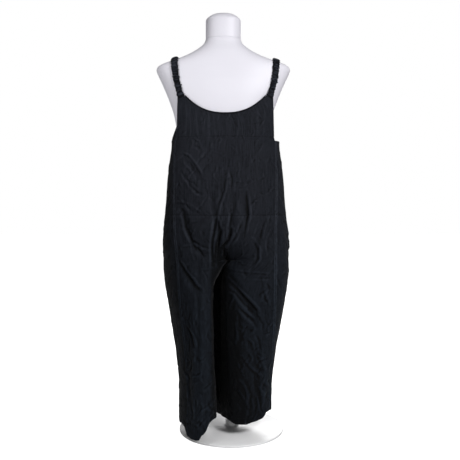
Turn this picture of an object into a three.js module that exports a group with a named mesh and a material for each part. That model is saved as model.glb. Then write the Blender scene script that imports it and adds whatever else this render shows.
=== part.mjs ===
// A jumpsuit with ruched shoulder straps and cropped wide legs, on a limbless dress form with a
// round-based stand. Millimetres, +Z up. The garment's back faces -Y and its left is -X.
import * as THREE from 'three';

// How far the garment hangs to the right of the form's middle
const GARMENT_X = 7;

// Cloth
const WALL = 1.6;
const SEAM_GAP = 0.3;
const HEM_ROWS = 2;
const HEM_EXTRA = 0.7;
const BINDING_HEIGHT = 5;
const BINDING_WALL = 2.8;

// Heights of the garment's lines
const CROTCH = 545;
const SPLIT_START = 650;
const LEG_SHAPE_FROM = 720;
const LEG_SHAPE_TO = 400;
const ARCH_EDGE = 0.4;
const ARCH_FOOT = 480;
const WAIST_SEAM = 686;
const ARMHOLE = 914;
const UNDERARM_RISE = 1.2;
// Angles round the front between which its edge climbs from the armhole to the chest seam
const UNDERARM_FROM = 0.5;
const UNDERARM_TO = 1.15;
// How far the front's side strip climbs beside the left armhole
const UNDERARM_REACH = 44;
const CHEST_SEAM = 925;
const NECKLINE = 998;
const TAB_TOP = 1058;

// Neckline and yoke
const TAB_INNER = 127;
const SCOOP_POWER = 2.4;
const YOKE_EDGE = 147;
const YOKE_FLARE = 0.026;
// Below 1, the yoke's columns stand closer together towards the straps
const TAB_CROWDING = 0.85;

// Dress form and stand
const FORM_BOTTOM = 592;
const NECK_JOINT = 1242;
const NECK_TOP = 1303;
const NECK_DOME = 22;
// The neck's sections: size against its foot, and how far up its straight side. Above 1 it is the dome.
const NECK_PROFILE = [
  { size: 1, rise: 0 },
  { size: 0.99, rise: 0.45 },
  { size: 0.99, rise: 0.92 },
  { size: 0.96, rise: 1 },
  { size: 0.85, rise: 2 },
  { size: 0.68, rise: 2 },
  { size: 0.45, rise: 2 },
  { size: 0.15, rise: 2 },
];
// The pole stands off the middle, so that it passes down inside the right leg
const POLE_X = 26;
const POLE_RADIUS = 11;
const BASE_RADIUS = 165;
const BASE_THICKNESS = 7;
const BOSS_RADIUS = 19;
const BOSS_TOP = 30;
const FLANGE_RADIUS = 32;
const FLANGE_THICKNESS = 9;

// How square the horizontal sections are: 2 is an ellipse
const BODY_SQUARE = 2.4;
const LEG_SQUARE = 2.2;
const INNER_SQUARE = { left: 3.4, right: 3.0 };
const FORM_SQUARE = 2.4;

// Horizontal sections of the garment, above the legs. side is half the width, back and front are
// depths from the middle, and seam is how far from the middle the side seam lies.
const BODY = [
  { z: 628, side: 197, inner: 0, back: 139, front: 139, seam: 153, lean: 0 },
  { z: 686, side: 192, inner: 0, back: 134, front: 139, seam: 155, lean: 0 },
  { z: 730, side: 188, inner: 0, back: 129, front: 138, seam: 157, lean: 0 },
  { z: 781, side: 185, inner: 0, back: 124, front: 137, seam: 157, lean: 0 },
  { z: 832, side: 180, inner: 0, back: 119, front: 137, seam: 157, lean: 0 },
  { z: 909, side: 171, inner: 0, back: 113, front: 135.5, seam: 155.5, lean: 0 },
  { z: 925, side: 172, inner: 0, back: 112, front: 135, seam: 150.8, lean: 0 },
  { z: 960, side: 177, inner: 0, back: 110.5, front: 134, seam: 150, lean: 0 },
  { z: 998, side: 182, inner: 0, back: 109.5, front: 129.5, seam: 149, lean: 0 },
  { z: 1017, side: 185, inner: 0, back: 109, front: 125, seam: 148, lean: 0 },
  { z: 1043, side: 187, inner: 0, back: 107.5, front: 119, seam: 147, lean: 0 },
  { z: 1058, side: 190, inner: 0, back: 106, front: 115, seam: 147, lean: 0 },
];

// Horizontal sections round the crotch and down each leg. inner is how far out its inner side lies,
// and lean shifts the section sideways with depth, so that the legs hang past each other.
const LEGS = {
  left: [
    { z: 15, side: 154, inner: 45, back: 151, front: 28, seam: 113, lean: 0.2 },
    { z: 150, side: 153, inner: 48, back: 151, front: 44, seam: 116, lean: 0.2 },
    { z: 250, side: 160, inner: 53, back: 150, front: 64, seam: 122, lean: 0.2 },
    { z: 346, side: 174, inner: 54, back: 148, front: 86, seam: 130, lean: 0.2 },
    { z: 400, side: 183, inner: 54, back: 146, front: 98, seam: 135, lean: 0.2 },
    { z: 460, side: 192, inner: 52, back: 143, front: 112, seam: 139, lean: 0.2 },
    { z: 500, side: 195, inner: 38, back: 140, front: 122, seam: 142, lean: 0.2 },
    { z: 530, side: 196, inner: 17, back: 138, front: 129, seam: 144, lean: 0.18 },
    { z: 545, side: 197, inner: 1.2, back: 137, front: 133, seam: 145, lean: 0.14 },
    { z: 589, side: 200, inner: 0, back: 140, front: 138, seam: 149, lean: 0.06 },
  ],
  right: [
    { z: 15, side: 137, inner: -41, back: 98, front: 60, seam: 135, lean: 0.2 },
    { z: 150, side: 139, inner: -44, back: 104, front: 70, seam: 139, lean: 0.2 },
    { z: 250, side: 150, inner: -49, back: 112, front: 82, seam: 142, lean: 0.2 },
    { z: 346, side: 167, inner: -50, back: 122, front: 98, seam: 147, lean: 0.2 },
    { z: 400, side: 177, inner: -50, back: 128, front: 106, seam: 149, lean: 0.2 },
    { z: 460, side: 187, inner: -45, back: 134, front: 116, seam: 150, lean: 0.2 },
    { z: 500, side: 192, inner: -30, back: 136, front: 124, seam: 151, lean: 0.2 },
    { z: 530, side: 194, inner: -11, back: 137, front: 129, seam: 152, lean: 0.18 },
    { z: 545, side: 195, inner: 1.2, back: 137, front: 133, seam: 152, lean: 0.14 },
    { z: 589, side: 198, inner: 0, back: 140, front: 138, seam: 153, lean: 0.06 },
  ],
};

// Beside the left leg the right leg's back falls away: how far, and between which distances from
// the garment's middle and between which depths and heights.
const HOLLOW_DEPTH = { left: 0, right: 40 };
const HOLLOW_LOW = { z: 60, full: -26, none: 24 };
const HOLLOW_HIGH = { z: 450, full: -16, none: 2 };
const HOLLOW_TOP = 475;
const HOLLOW_Y = { full: -90, none: 110 };

// The hem's height round each leg, at degrees round from the outer side: 90 is the middle of the
// back, 180 the inner side and -90 the middle of the front.
const HEMS = {
  left: [
    { z: -180, height: 79 },
    { z: -90, height: 53 },
    { z: 0, height: 42 },
    { z: 18, height: 48 },
    { z: 29, height: 48 },
    { z: 46, height: 23 },
    { z: 70, height: 17 },
    { z: 82, height: 18 },
    { z: 93, height: 41 },
    { z: 103, height: 68 },
    { z: 120, height: 78 },
    { z: 180, height: 78 },
  ],
  right: [
    { z: -180, height: 57 },
    { z: -90, height: 60 },
    { z: 0, height: 70 },
    { z: 18, height: 75 },
    { z: 33, height: 80 },
    { z: 46, height: 79 },
    { z: 58, height: 64 },
    { z: 70, height: 58 },
    { z: 82, height: 54 },
    { z: 93, height: 47 },
    { z: 103, height: 47 },
    { z: 120, height: 57 },
    { z: 180, height: 57 },
  ],
};

// The largest folds: soft ridges (height above 0) and troughs, from one end to the other, seen
// square on. Front folds are on the front panels.
const FOLDS = {
  back: [
    { x1: -124, z1: 678, x2: -104, z2: 606, height: -5, width: 11 },
    { x1: -104, z1: 606, x2: -56, z2: 556, height: -5, width: 10 },
    { x1: -136, z1: 537, x2: -85, z2: 468, height: -5, width: 12 },
    { x1: -120, z1: 858, x2: -68, z2: 792, height: -4, width: 11 },
    { x1: -138, z1: 717, x2: -106, z2: 652, height: -4, width: 10 },
    { x1: 60, z1: 738, x2: 66, z2: 660, height: -4, width: 10 },
    { x1: 118, z1: 660, x2: 88, z2: 567, height: -5, width: 13 },
    { x1: 14, z1: 507, x2: 98, z2: 372, height: -6, width: 13 },
    { x1: -12, z1: 548, x2: -38, z2: 750, height: -4, width: 9 },
    { x1: 8, z1: 552, x2: 30, z2: 745, height: -4, width: 9 },
    { x1: -64, z1: 470, x2: -66, z2: 60, height: 6, width: 22 },
    { x1: -112, z1: 420, x2: -118, z2: 70, height: -6, width: 17 },
    { x1: 52, z1: 330, x2: 60, z2: 60, height: 5, width: 24 },
    { x1: 98, z1: 300, x2: 102, z2: 60, height: -5, width: 15 },
  ],
  front: [
    { x1: -96, z1: 850, x2: -58, z2: 700, height: -5, width: 15 },
    { x1: 104, z1: 840, x2: 66, z2: 690, height: -5, width: 15 },
    { x1: -130, z1: 640, x2: -60, z2: 560, height: -5, width: 14 },
    { x1: 130, z1: 650, x2: 64, z2: 566, height: -5, width: 14 },
    { x1: -12, z1: 552, x2: -34, z2: 740, height: -4, width: 10 },
    { x1: 12, z1: 552, x2: 36, z2: 730, height: -4, width: 10 },
    { x1: -96, z1: 480, x2: -100, z2: 60, height: 5, width: 22 },
    { x1: 96, z1: 480, x2: 78, z2: 60, height: 5, width: 22 },
    { x1: 130, z1: 420, x2: 110, z2: 80, height: -5, width: 15 },
  ],
};

// Horizontal sections of the dress form
const FORM = [
  { z: 592, side: 150, back: 104, front: 94 },
  { z: 600, side: 158, back: 111, front: 100 },
  { z: 622, side: 163, back: 115, front: 104 },
  { z: 660, side: 156, back: 112, front: 104 },
  { z: 720, side: 131, back: 96, front: 98 },
  { z: 780, side: 118, back: 84, front: 93 },
  { z: 840, side: 122, back: 88, front: 98 },
  { z: 900, side: 136, back: 96, front: 113 },
  { z: 960, side: 149, back: 102, front: 129 },
  { z: 1000, side: 157, back: 104, front: 125 },
  { z: 1050, side: 174, back: 103, front: 111 },
  { z: 1100, side: 195, back: 97, front: 92 },
  { z: 1128, side: 208, back: 90, front: 84 },
  { z: 1143, side: 213, back: 86, front: 80 },
  { z: 1153, side: 209, back: 83, front: 77 },
  { z: 1160, side: 198, back: 81, front: 75 },
  { z: 1171, side: 168, back: 78, front: 72 },
  { z: 1184, side: 131, back: 74, front: 69 },
  { z: 1200, side: 98, back: 68, front: 66 },
  { z: 1216, side: 74, back: 60, front: 62 },
  { z: 1229, side: 61, back: 54, front: 60 },
  { z: 1242, side: 56, back: 51, front: 59 },
];

// A strap's middle is where rays from inside the form's shoulder leave it, from the back tab over
// the top to the front tab. It lies further out over the top than at the tabs.
const STRAP_CORE = 1080;
const STRAP_TAB_X = 137;
const STRAP_TOP_X = 160;
const STRAP_STEPS = 20;
const STRAP_LIFT = 3.6;
const STRAP_WIDTH = 24;
const STRAP_THICKNESS = 4.4;
const STRAP_TURN = 5;
const GATHER_PITCH = 10;
const GATHER_WIDTH = 1.6;
const GATHER_THICKNESS = 1.1;

// How finely each surface is divided
const BODY_ROWS = 9;
const TOP_ROWS = 2;
const YOKE_ROWS = 5;
const YOKE_COLUMNS = 24;
const SIDE_COLUMNS = 12;
const LEG_ROWS = 15;
const SPLIT_ROWS = 8;
const LEG_COLUMNS_BACK = 17;
const LEG_COLUMNS_FRONT = 20;
const FORM_POINTS = 28;
const FORM_STEP = 30;
const ROUND_POINTS = 32;
const STRAP_POINTS = 8;
const RINGS_PER_GATHER = 3;
// The angle at which a leg's row has the height that its columns are spread for
const ROW_ANGLE = 0.9;

const root = new THREE.Group();
root.name = 'jumpsuit_on_dress_form';

// ---------------------------------------------------------------- small helpers

const lerp = (a, b, k) => a + (b - a) * k;
const smooth = THREE.MathUtils.smoothstep;

/** The value of a table's column at a height, by a monotone cubic through its rows. */
function valueAt(rows, column, z) {
  const last = rows.length - 1;
  const i = Math.min(last - 1, Math.max(0, rows.findIndex((row) => row.z > z) - 1));
  const index = z >= rows[last].z ? last - 1 : i;
  const slope = (k) => (rows[k + 1][column] - rows[k][column]) / (rows[k + 1].z - rows[k].z);
  const tangent = (k) => {
    if (k === 0) return slope(0);
    if (k === last) return slope(last - 1);
    const before = slope(k - 1);
    const after = slope(k);
    return before * after <= 0 ? 0 : (2 * before * after) / (before + after);
  };
  const step = rows[index + 1].z - rows[index].z;
  const k = THREE.MathUtils.clamp((z - rows[index].z) / step, 0, 1);
  const bend = k * k * (3 - 2 * k);
  return lerp(rows[index][column], rows[index + 1][column], bend)
    + step * tangent(index) * k * (1 - k) ** 2
    - step * tangent(index + 1) * k * k * (1 - k);
}

/** A point of a superellipse quarter: how far along each axis, at an angle. */
function squareRound(angle, square) {
  const c = Math.cos(angle);
  const s = Math.sin(angle);
  return {
    across: Math.sign(c) * Math.abs(c) ** (2 / square),
    deep: Math.sign(s) * Math.abs(s) ** (2 / square),
  };
}

/** Adds a mesh from points and quads or triangles as a named node. */
function addSolid(name, points, faces, material) {
  const geometry = new THREE.BufferGeometry();
  geometry.setAttribute('position', new THREE.Float32BufferAttribute(points.flatMap((p) => [p.x, p.y, p.z]), 3));
  geometry.setIndex(faces.flatMap((f) => (f.length === 3 ? f : [f[0], f[1], f[2], f[0], f[2], f[3]])));
  geometry.computeVertexNormals();
  const mesh = new THREE.Mesh(geometry, new THREE.MeshStandardMaterial(material));
  mesh.name = name;
  root.add(mesh);
}

/** A closed solid through rings of equal count, each counter-clockwise seen from its end. */
function solidThroughRings(name, rings, material) {
  const count = rings[0].length;
  const points = rings.flat();
  const faces = [];
  for (let j = 0; j + 1 < rings.length; j += 1) {
    for (let i = 0; i < count; i += 1) {
      const next = (i + 1) % count;
      faces.push([j * count + i, j * count + next, (j + 1) * count + next, (j + 1) * count + i]);
    }
  }
  const middle = (ring) => ring.reduce((sum, p) => sum.add(p), new THREE.Vector3()).divideScalar(count);
  const bottom = points.push(middle(rings[0])) - 1;
  const top = points.push(middle(rings.at(-1))) - 1;
  const lastRing = (rings.length - 1) * count;
  for (let i = 0; i < count; i += 1) {
    const next = (i + 1) % count;
    faces.push([bottom, next, i], [top, lastRing + i, lastRing + next]);
  }
  addSolid(name, points, faces, material);
}

/** A closed wall between an outer and an inner grid of points, both rows[j][i]. */
function solidWall(name, outer, inner, material) {
  const rows = outer.length;
  const columns = outer[0].length;
  const points = [...outer.flat(), ...inner.flat()];
  const at = (layer, j, i) => layer * rows * columns + j * columns + i;
  const faces = [];
  for (let j = 0; j + 1 < rows; j += 1) {
    for (let i = 0; i + 1 < columns; i += 1) {
      faces.push([at(0, j, i), at(0, j, i + 1), at(0, j + 1, i + 1), at(0, j + 1, i)]);
      faces.push([at(1, j, i), at(1, j + 1, i), at(1, j + 1, i + 1), at(1, j, i + 1)]);
    }
  }
  for (let i = 0; i + 1 < columns; i += 1) {
    const end = rows - 1;
    faces.push([at(0, 0, i), at(1, 0, i), at(1, 0, i + 1), at(0, 0, i + 1)]);
    faces.push([at(0, end, i), at(0, end, i + 1), at(1, end, i + 1), at(1, end, i)]);
  }
  for (let j = 0; j + 1 < rows; j += 1) {
    const end = columns - 1;
    faces.push([at(0, j, 0), at(0, j + 1, 0), at(1, j + 1, 0), at(1, j, 0)]);
    faces.push([at(0, j, end), at(1, j, end), at(1, j + 1, end), at(0, j + 1, end)]);
  }
  addSolid(name, points, faces, material);
}

// ---------------------------------------------------------------- the garment's surface

const ROWS = {
  left: [...LEGS.left, ...BODY],
  right: [...LEGS.right, ...BODY],
};

/** How much of the one-piece body section there is at a height: 0 in the legs and 1 above them.
 * inward is 0 at the side and 1 at the middle, where the cloth arches down to the crotch. Beside
 * the middle the change is gentler. */
function bodyShare(z, inward) {
  const rise = THREE.MathUtils.clamp((z - CROTCH) / (SPLIT_START - CROTCH), 0, 1);
  const arch = Math.sqrt(1 - (1 - rise) ** 2);
  const near = smooth(inward, ARCH_EDGE, 1);
  const beside = smooth(z, ARCH_FOOT, SPLIT_START);
  return lerp(smooth(z, LEG_SHAPE_TO, LEG_SHAPE_FROM), lerp(beside, arch, near ** 3), near);
}

/** The depth of the folds at a point of the back or the front. */
function foldHeight(face, x, z) {
  return FOLDS[face].reduce((sum, fold) => {
    const length2 = (fold.x2 - fold.x1) ** 2 + (fold.z2 - fold.z1) ** 2;
    const along = ((x - fold.x1) * (fold.x2 - fold.x1) + (z - fold.z1) * (fold.z2 - fold.z1)) / length2;
    const near = THREE.MathUtils.clamp(along, 0, 1);
    const away = Math.hypot(x - lerp(fold.x1, fold.x2, near), z - lerp(fold.z1, fold.z2, near));
    const fade = 0.35 + 0.65 * Math.sin(Math.PI * near);
    return sum + fold.height * fade * Math.exp(-((away / fold.width) ** 2));
  }, 0);
}

/** How far into the hollow beside the left leg a point is. */
function hollowShare(x, y, z) {
  const up = smooth(z, HOLLOW_LOW.z, HOLLOW_HIGH.z);
  const full = lerp(HOLLOW_LOW.full, HOLLOW_HIGH.full, up);
  const none = lerp(HOLLOW_LOW.none, HOLLOW_HIGH.none, up);
  const nearer = 1 - smooth(x, full, none);
  return nearer * (1 - smooth(y, HOLLOW_Y.full, HOLLOW_Y.none)) * (1 - smooth(z, HOLLOW_TOP, CROTCH));
}

/** The middle of the cloth in one half of the garment, at an angle round it: 0 is the outermost
 * point, PI the innermost, above 0 on the back and below 0 on the front. */
function clothPoint(half, angle, z) {
  const rows = ROWS[half];
  const sign = half === 'left' ? -1 : 1;
  const face = angle >= 0 ? 'back' : 'front';
  const turn = Math.abs(angle);
  const side = valueAt(rows, 'side', z);
  const inner = valueAt(rows, 'inner', z);
  const back = valueAt(rows, 'back', z);
  const front = valueAt(rows, 'front', z);
  const middle = (front - back) / 2 * smooth(CROTCH - z, -40, 120);
  const depth = face === 'back' ? -back - middle : front - middle;

  const leg = squareRound(turn, turn > Math.PI / 2 ? INNER_SQUARE[half] : LEG_SQUARE);
  const legX = lerp((side + inner) / 2, side, leg.across);
  const legY = middle + depth * leg.deep;
  const body = squareRound(turn / 2, BODY_SQUARE);
  const bodyX = side * body.across;
  const bodyY = middle + depth * body.deep;

  const share = bodyShare(z, (1 - leg.across) / 2);
  const y = lerp(legY, bodyY, share);
  const across = sign * lerp(legX, bodyX, share) - valueAt(rows, 'lean', z) * y;
  return new THREE.Vector3(GARMENT_X + across, y + HOLLOW_DEPTH[half] * hollowShare(across, y, z), z);
}

/** The angle on the far side of the middle seam or the inseam. */
function beyond(half, angle, z) {
  if (Math.abs(angle) <= Math.PI) return { half, angle };
  if (z >= CROTCH) {
    return { half: half === 'left' ? 'right' : 'left', angle: Math.sign(angle) * (2 * Math.PI - Math.abs(angle)) };
  }
  return { half, angle: angle - Math.sign(angle) * 2 * Math.PI };
}

/** The outward normal of the cloth. */
function clothNormal(half, angle, z) {
  const turn = 0.03;
  const rise = 1.5;
  const ends = [-turn, turn].map((d) => {
    const place = beyond(half, angle + d, z);
    return clothPoint(place.half, place.angle, z);
  });
  const round = ends[1].sub(ends[0]);
  const up = clothPoint(half, angle, z + rise).sub(clothPoint(half, angle, z - rise));
  const normal = new THREE.Vector3().crossVectors(round, up).normalize();
  return half === 'left' ? normal : normal.negate();
}

/** A point of the cloth with its folds, and its normal. */
function clothAt(half, angle, z) {
  const point = clothPoint(half, angle, z);
  const normal = clothNormal(half, angle, z);
  const face = angle >= 0 ? 'back' : 'front';
  const facing = smooth(Math.abs(normal.y), 0.15, 0.6);
  point.addScaledVector(normal, facing * foldHeight(face, point.x - GARMENT_X, z));
  return { point, normal };
}

/** The angle at which the back of a half reaches the side seam's distance from the middle, found by
 * halving the stretch between one near the middle of the back and one near the side. */
function seamAngle(half, z) {
  const seam = valueAt(ROWS[half], 'seam', z);
  let inside = Math.PI * 0.55;
  let outside = 0.12;
  while (inside - outside > 1e-5) {
    const angle = (inside + outside) / 2;
    if (Math.abs(clothPoint(half, angle, z).x - GARMENT_X) < seam) inside = angle;
    else outside = angle;
  }
  return inside;
}

/** The angle at which the cloth of one face reaches a distance from the middle, above the crotch. */
function angleAcross(x, z) {
  const across = x / valueAt(BODY, 'side', z);
  return 2 * Math.acos(across ** (BODY_SQUARE / 2));
}

/** Spreads a count of angles evenly along the cloth between two of them. */
function evenAngles(half, from, to, z, count) {
  const fine = 48;
  const angles = Array.from({ length: fine + 1 }, (_, i) => lerp(from, to, i / fine));
  const points = angles.map((a) => clothPoint(half, a, z));
  const along = [0];
  for (let i = 1; i <= fine; i += 1) {
    along.push(along[i - 1] + points[i].distanceTo(points[i - 1]));
  }
  return Array.from({ length: count + 1 }, (_, k) => {
    if (k === count) return to;
    const target = (along[fine] * k) / count;
    const i = Math.min(fine - 1, Math.max(0, along.findIndex((d) => d >= target) - 1));
    const part = (target - along[i]) / (along[i + 1] - along[i]);
    return lerp(angles[i], angles[i + 1], THREE.MathUtils.clamp(part, 0, 1));
  });
}

/** Draws a grid's border in by half a seam's gap, along the cloth. */
function drawIn(grid) {
  const rows = grid.length;
  const columns = grid[0].length;
  const pull = (to, from) => {
    const step = from.point.clone().sub(to.point).setLength(SEAM_GAP / 2);
    return { point: to.point.clone().add(step), normal: to.normal };
  };
  const wide = grid.map((row) => {
    const drawn = row.slice();
    drawn[0] = pull(row[0], row[1]);
    drawn[columns - 1] = pull(row[columns - 1], row[columns - 2]);
    return drawn;
  });
  const drawn = wide.slice();
  drawn[0] = wide[0].map((p, i) => pull(p, wide[1][i]));
  drawn[rows - 1] = wide[rows - 1].map((p, i) => pull(p, wide[rows - 2][i]));
  return drawn;
}

const CLOTH = { color: 0x1b1c20, roughness: 0.9 };
const BINDING = { color: 0x141519, roughness: 0.9 };
const WHITE = { color: 0xe9e8ec, roughness: 0.55 };
const STEEL = { color: 0xf2f2f2, roughness: 0.35, metalness: 0.2 };

/** Makes a cloth node from a grid of points and normals, seen from outside with rows going up and
 * columns going to the right. extra(j) thickens a row outwards. */
function addCloth(name, grid, wall = WALL, extra = () => 0, material = CLOTH) {
  const drawn = drawIn(grid);
  const moved = (far, more) => drawn.map((row, j) => row.map(({ point, normal }) => (
    point.clone().addScaledVector(normal, far + more(j))
  )));
  solidWall(name, moved(wall / 2, extra), moved(-wall / 2, () => 0), material);
}

/** The height of a yoke's upper edge at a distance from the middle. */
function yokeTop(x) {
  const out = Math.min(1, Math.abs(x) / TAB_INNER);
  return NECKLINE + (TAB_TOP - NECKLINE) * out ** SCOOP_POWER;
}

/** The yoke's columns: closer together towards the straps. */
function yokeAcross() {
  return Array.from({ length: YOKE_COLUMNS + 1 }, (_, i) => {
    const k = (2 * i) / YOKE_COLUMNS - 1;
    return YOKE_EDGE * Math.sign(k) * Math.abs(k) ** TAB_CROWDING;
  });
}

function yokePoint(face, x, z) {
  const half = x < 0 ? 'left' : 'right';
  const angle = angleAcross(Math.abs(x), z) * (face === 'back' ? 1 : -1);
  return clothAt(half, angle, z);
}

function addYoke(face) {
  const across = yokeAcross();
  const columns = face === 'back' ? across : across.toReversed();
  const rows = Array.from({ length: YOKE_ROWS + 1 }, (_, j) => columns.map((x) => {
    const top = yokeTop(x) - (Math.abs(x) < TAB_INNER ? BINDING_HEIGHT : 0);
    const flare = lerp(1 + YOKE_FLARE, 1, j / YOKE_ROWS);
    return yokePoint(face, x * flare, lerp(CHEST_SEAM, top, j / YOKE_ROWS));
  }));
  addCloth(`${face}_yoke`, rows);
}

function addNeckBinding(face) {
  const across = yokeAcross().filter((x) => Math.abs(x) < TAB_INNER - 2);
  const columns = face === 'back' ? across : across.toReversed();
  const rows = [0, 0.5, 1].map((k) => columns.map((x) => (
    yokePoint(face, x, yokeTop(x) - BINDING_HEIGHT * (1 - k))
  )));
  addCloth(`${face}_neck_binding`, rows, BINDING_WALL, () => 0, BINDING);
}

/** The height of a bodice's upper edge: the chest seam, hollowed under the arms. At the left side
 * seam the front climbs beside the yoke. out is 0 at the outermost point and 1 at the seam. */
function bodiceTop(face, half, angle, out) {
  if (face === 'back') return CHEST_SEAM;
  const reach = half === 'left' && out > 0 ? UNDERARM_REACH * out ** 2 : 0;
  return lerp(ARMHOLE + UNDERARM_RISE, CHEST_SEAM, smooth(-angle, UNDERARM_FROM, UNDERARM_TO)) + reach;
}

function addBodice(face) {
  const to = face === 'back' ? Math.PI : -Math.PI;
  const halfRow = (half, j) => {
    const level = j <= BODY_ROWS ? lerp(WAIST_SEAM, ARMHOLE, j / BODY_ROWS) : ARMHOLE;
    const seam = seamAngle(half, level);
    const above = Math.max(0, j - BODY_ROWS) / TOP_ROWS;
    return evenAngles(half, seam, to, level, SIDE_COLUMNS).map((a) => {
      const out = a / seam;
      const height = lerp(level, bodiceTop(face, half, a, out), above);
      const shift = out > 0 ? (seamAngle(half, height) - seam) * out : 0;
      return clothAt(half, a + shift, height);
    });
  };
  const rows = Array.from({ length: BODY_ROWS + TOP_ROWS + 1 }, (_, j) => {
    const row = [...halfRow('left', j), ...halfRow('right', j).reverse().slice(1)];
    return face === 'back' ? row : row.reverse();
  });
  addCloth(`${face}_bodice`, rows);
}

/** The height of a leg's row at an angle: from the hem up, closer together above the crotch. */
function legHeight(half, j, angle) {
  if (j < LEG_ROWS) {
    const hem = valueAt(HEMS[half], 'height', THREE.MathUtils.radToDeg(angle));
    return lerp(hem, CROTCH, j / LEG_ROWS);
  }
  const turn = (Math.PI / 2) * ((j - LEG_ROWS) / SPLIT_ROWS);
  return lerp(CROTCH, WAIST_SEAM, 1 - Math.cos(turn));
}

function addLeg(face, half) {
  const level = (j) => legHeight(half, j, ROW_ANGLE);
  const count = face === 'back' ? LEG_COLUMNS_BACK : LEG_COLUMNS_FRONT;
  const to = face === 'back' ? Math.PI : -Math.PI;
  const leftToRight = (half === 'left') === (face === 'back');
  const rows = Array.from({ length: LEG_ROWS + SPLIT_ROWS + 1 }, (_, j) => {
    const row = evenAngles(half, seamAngle(half, level(j)), to, level(j), count)
      .map((a) => clothAt(half, a, legHeight(half, j, a)));
    return leftToRight ? row : row.reverse();
  });
  addCloth(`${face}_leg_${half}`, rows, WALL, (j) => (j < HEM_ROWS ? HEM_EXTRA : 0));
}

// ---------------------------------------------------------------- the straps

/** Below 1 inside the dress form, 1 on its surface. */
function formValue({ x, y, z }) {
  const side = valueAt(FORM, 'side', z);
  const depth = valueAt(FORM, y < 0 ? 'back' : 'front', z);
  return (Math.abs(x) / side) ** FORM_SQUARE + (Math.abs(y) / depth) ** FORM_SQUARE;
}

function formNormal(point) {
  const step = 0.5;
  const rise = ['x', 'y', 'z'].map((axis) => {
    const ends = [step, -step].map((d) => {
      const moved = point.clone();
      moved[axis] += d;
      return formValue(moved);
    });
    return ends[0] - ends[1];
  });
  return new THREE.Vector3(...rise).normalize();
}

/** Where a ray from inside the form leaves it. */
function leavesForm(from, direction) {
  let inside = 0;
  let outside = 300;
  while (outside - inside > 0.01) {
    const half = (inside + outside) / 2;
    if (formValue(from.clone().addScaledVector(direction, half)) < 1) inside = half;
    else outside = half;
  }
  return from.clone().addScaledVector(direction, outside);
}

/** Where a strap meets a yoke's tab. */
function tabEnd(sign, face) {
  const { point } = yokePoint(face, sign * STRAP_TAB_X, TAB_TOP);
  return point.setZ(TAB_TOP + SEAM_GAP);
}

/** The strap's middle line, from the back tab to the front tab. */
function strapLine(sign) {
  const tabZ = TAB_TOP + SEAM_GAP;
  const startTurn = (face) => {
    const out = Math.abs(GARMENT_X + sign * STRAP_TAB_X) / valueAt(FORM, 'side', tabZ);
    const depth = valueAt(FORM, face, tabZ) * (1 - out ** FORM_SQUARE) ** (1 / FORM_SQUARE);
    return Math.atan2(STRAP_CORE - tabZ, depth + STRAP_LIFT);
  };
  const from = -startTurn('back');
  const to = Math.PI + startTurn('front');
  const points = Array.from({ length: STRAP_STEPS + 1 }, (_, i) => {
    const turn = lerp(from, to, i / STRAP_STEPS);
    const out = Math.sin((Math.PI * i) / STRAP_STEPS) ** 0.8;
    const coreX = GARMENT_X + sign * lerp(STRAP_TAB_X, STRAP_TOP_X, out);
    const core = new THREE.Vector3(coreX, 0, STRAP_CORE);
    const point = leavesForm(core, new THREE.Vector3(0, -Math.cos(turn), Math.sin(turn)));
    return point.addScaledVector(formNormal(point), STRAP_LIFT);
  });
  points[0] = tabEnd(sign, 'back');
  points[STRAP_STEPS] = tabEnd(sign, 'front');
  return new THREE.CatmullRomCurve3(points, false, 'centripetal');
}

function addStrap(half) {
  const sign = half === 'left' ? -1 : 1;
  const curve = strapLine(sign);
  const gathers = Math.round(curve.getLength() / GATHER_PITCH);
  const count = gathers * RINGS_PER_GATHER;
  const rings = Array.from({ length: count + 1 }, (_, j) => {
    const middle = curve.getPointAt(j / count);
    const fromEnd = smooth(Math.min(j, count - j), 0, 2 * RINGS_PER_GATHER);
    const upright = new THREE.Vector3(0, 0, j < count / 2 ? 1 : -1);
    const along = upright.lerp(curve.getTangentAt(j / count), fromEnd).normalize();
    const tab = yokePoint(j < count / 2 ? 'back' : 'front', sign * STRAP_TAB_X, TAB_TOP);
    const onTab = 1 - smooth(Math.min(j, count - j), 0, STRAP_TURN * RINGS_PER_GATHER);
    const facing = formNormal(middle).lerp(tab.normal, onTab);
    const wide = new THREE.Vector3().crossVectors(along, facing).normalize();
    const thick = new THREE.Vector3().crossVectors(wide, along).normalize();
    const wave = Math.cos((2 * Math.PI * j) / RINGS_PER_GATHER);
    const a = STRAP_WIDTH / 2 + GATHER_WIDTH * wave / 2;
    const b = STRAP_THICKNESS / 2 + GATHER_THICKNESS * wave / 2;
    return Array.from({ length: STRAP_POINTS }, (_, i) => {
      const p = squareRound((-2 * Math.PI * i) / STRAP_POINTS, BODY_SQUARE);
      return middle.clone().addScaledVector(wide, a * p.across).addScaledVector(thick, b * p.deep);
    });
  });
  solidThroughRings(`strap_${half}`, rings, CLOTH);
}

// ---------------------------------------------------------------- the dress form and stand

function formRing(z) {
  const side = valueAt(FORM, 'side', z);
  return Array.from({ length: FORM_POINTS }, (_, i) => {
    const p = squareRound((2 * Math.PI * i) / FORM_POINTS, FORM_SQUARE);
    const depth = valueAt(FORM, p.deep < 0 ? 'back' : 'front', z);
    return new THREE.Vector3(side * p.across, depth * p.deep, z);
  });
}

function addTorso() {
  const heights = FORM.flatMap((row, k) => {
    const next = FORM[k + 1];
    if (!next) return [row.z];
    const parts = Math.ceil((next.z - row.z) / FORM_STEP);
    return Array.from({ length: parts }, (_, i) => lerp(row.z, next.z, i / parts));
  });
  solidThroughRings('form_torso', heights.map(formRing), WHITE);
}

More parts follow.
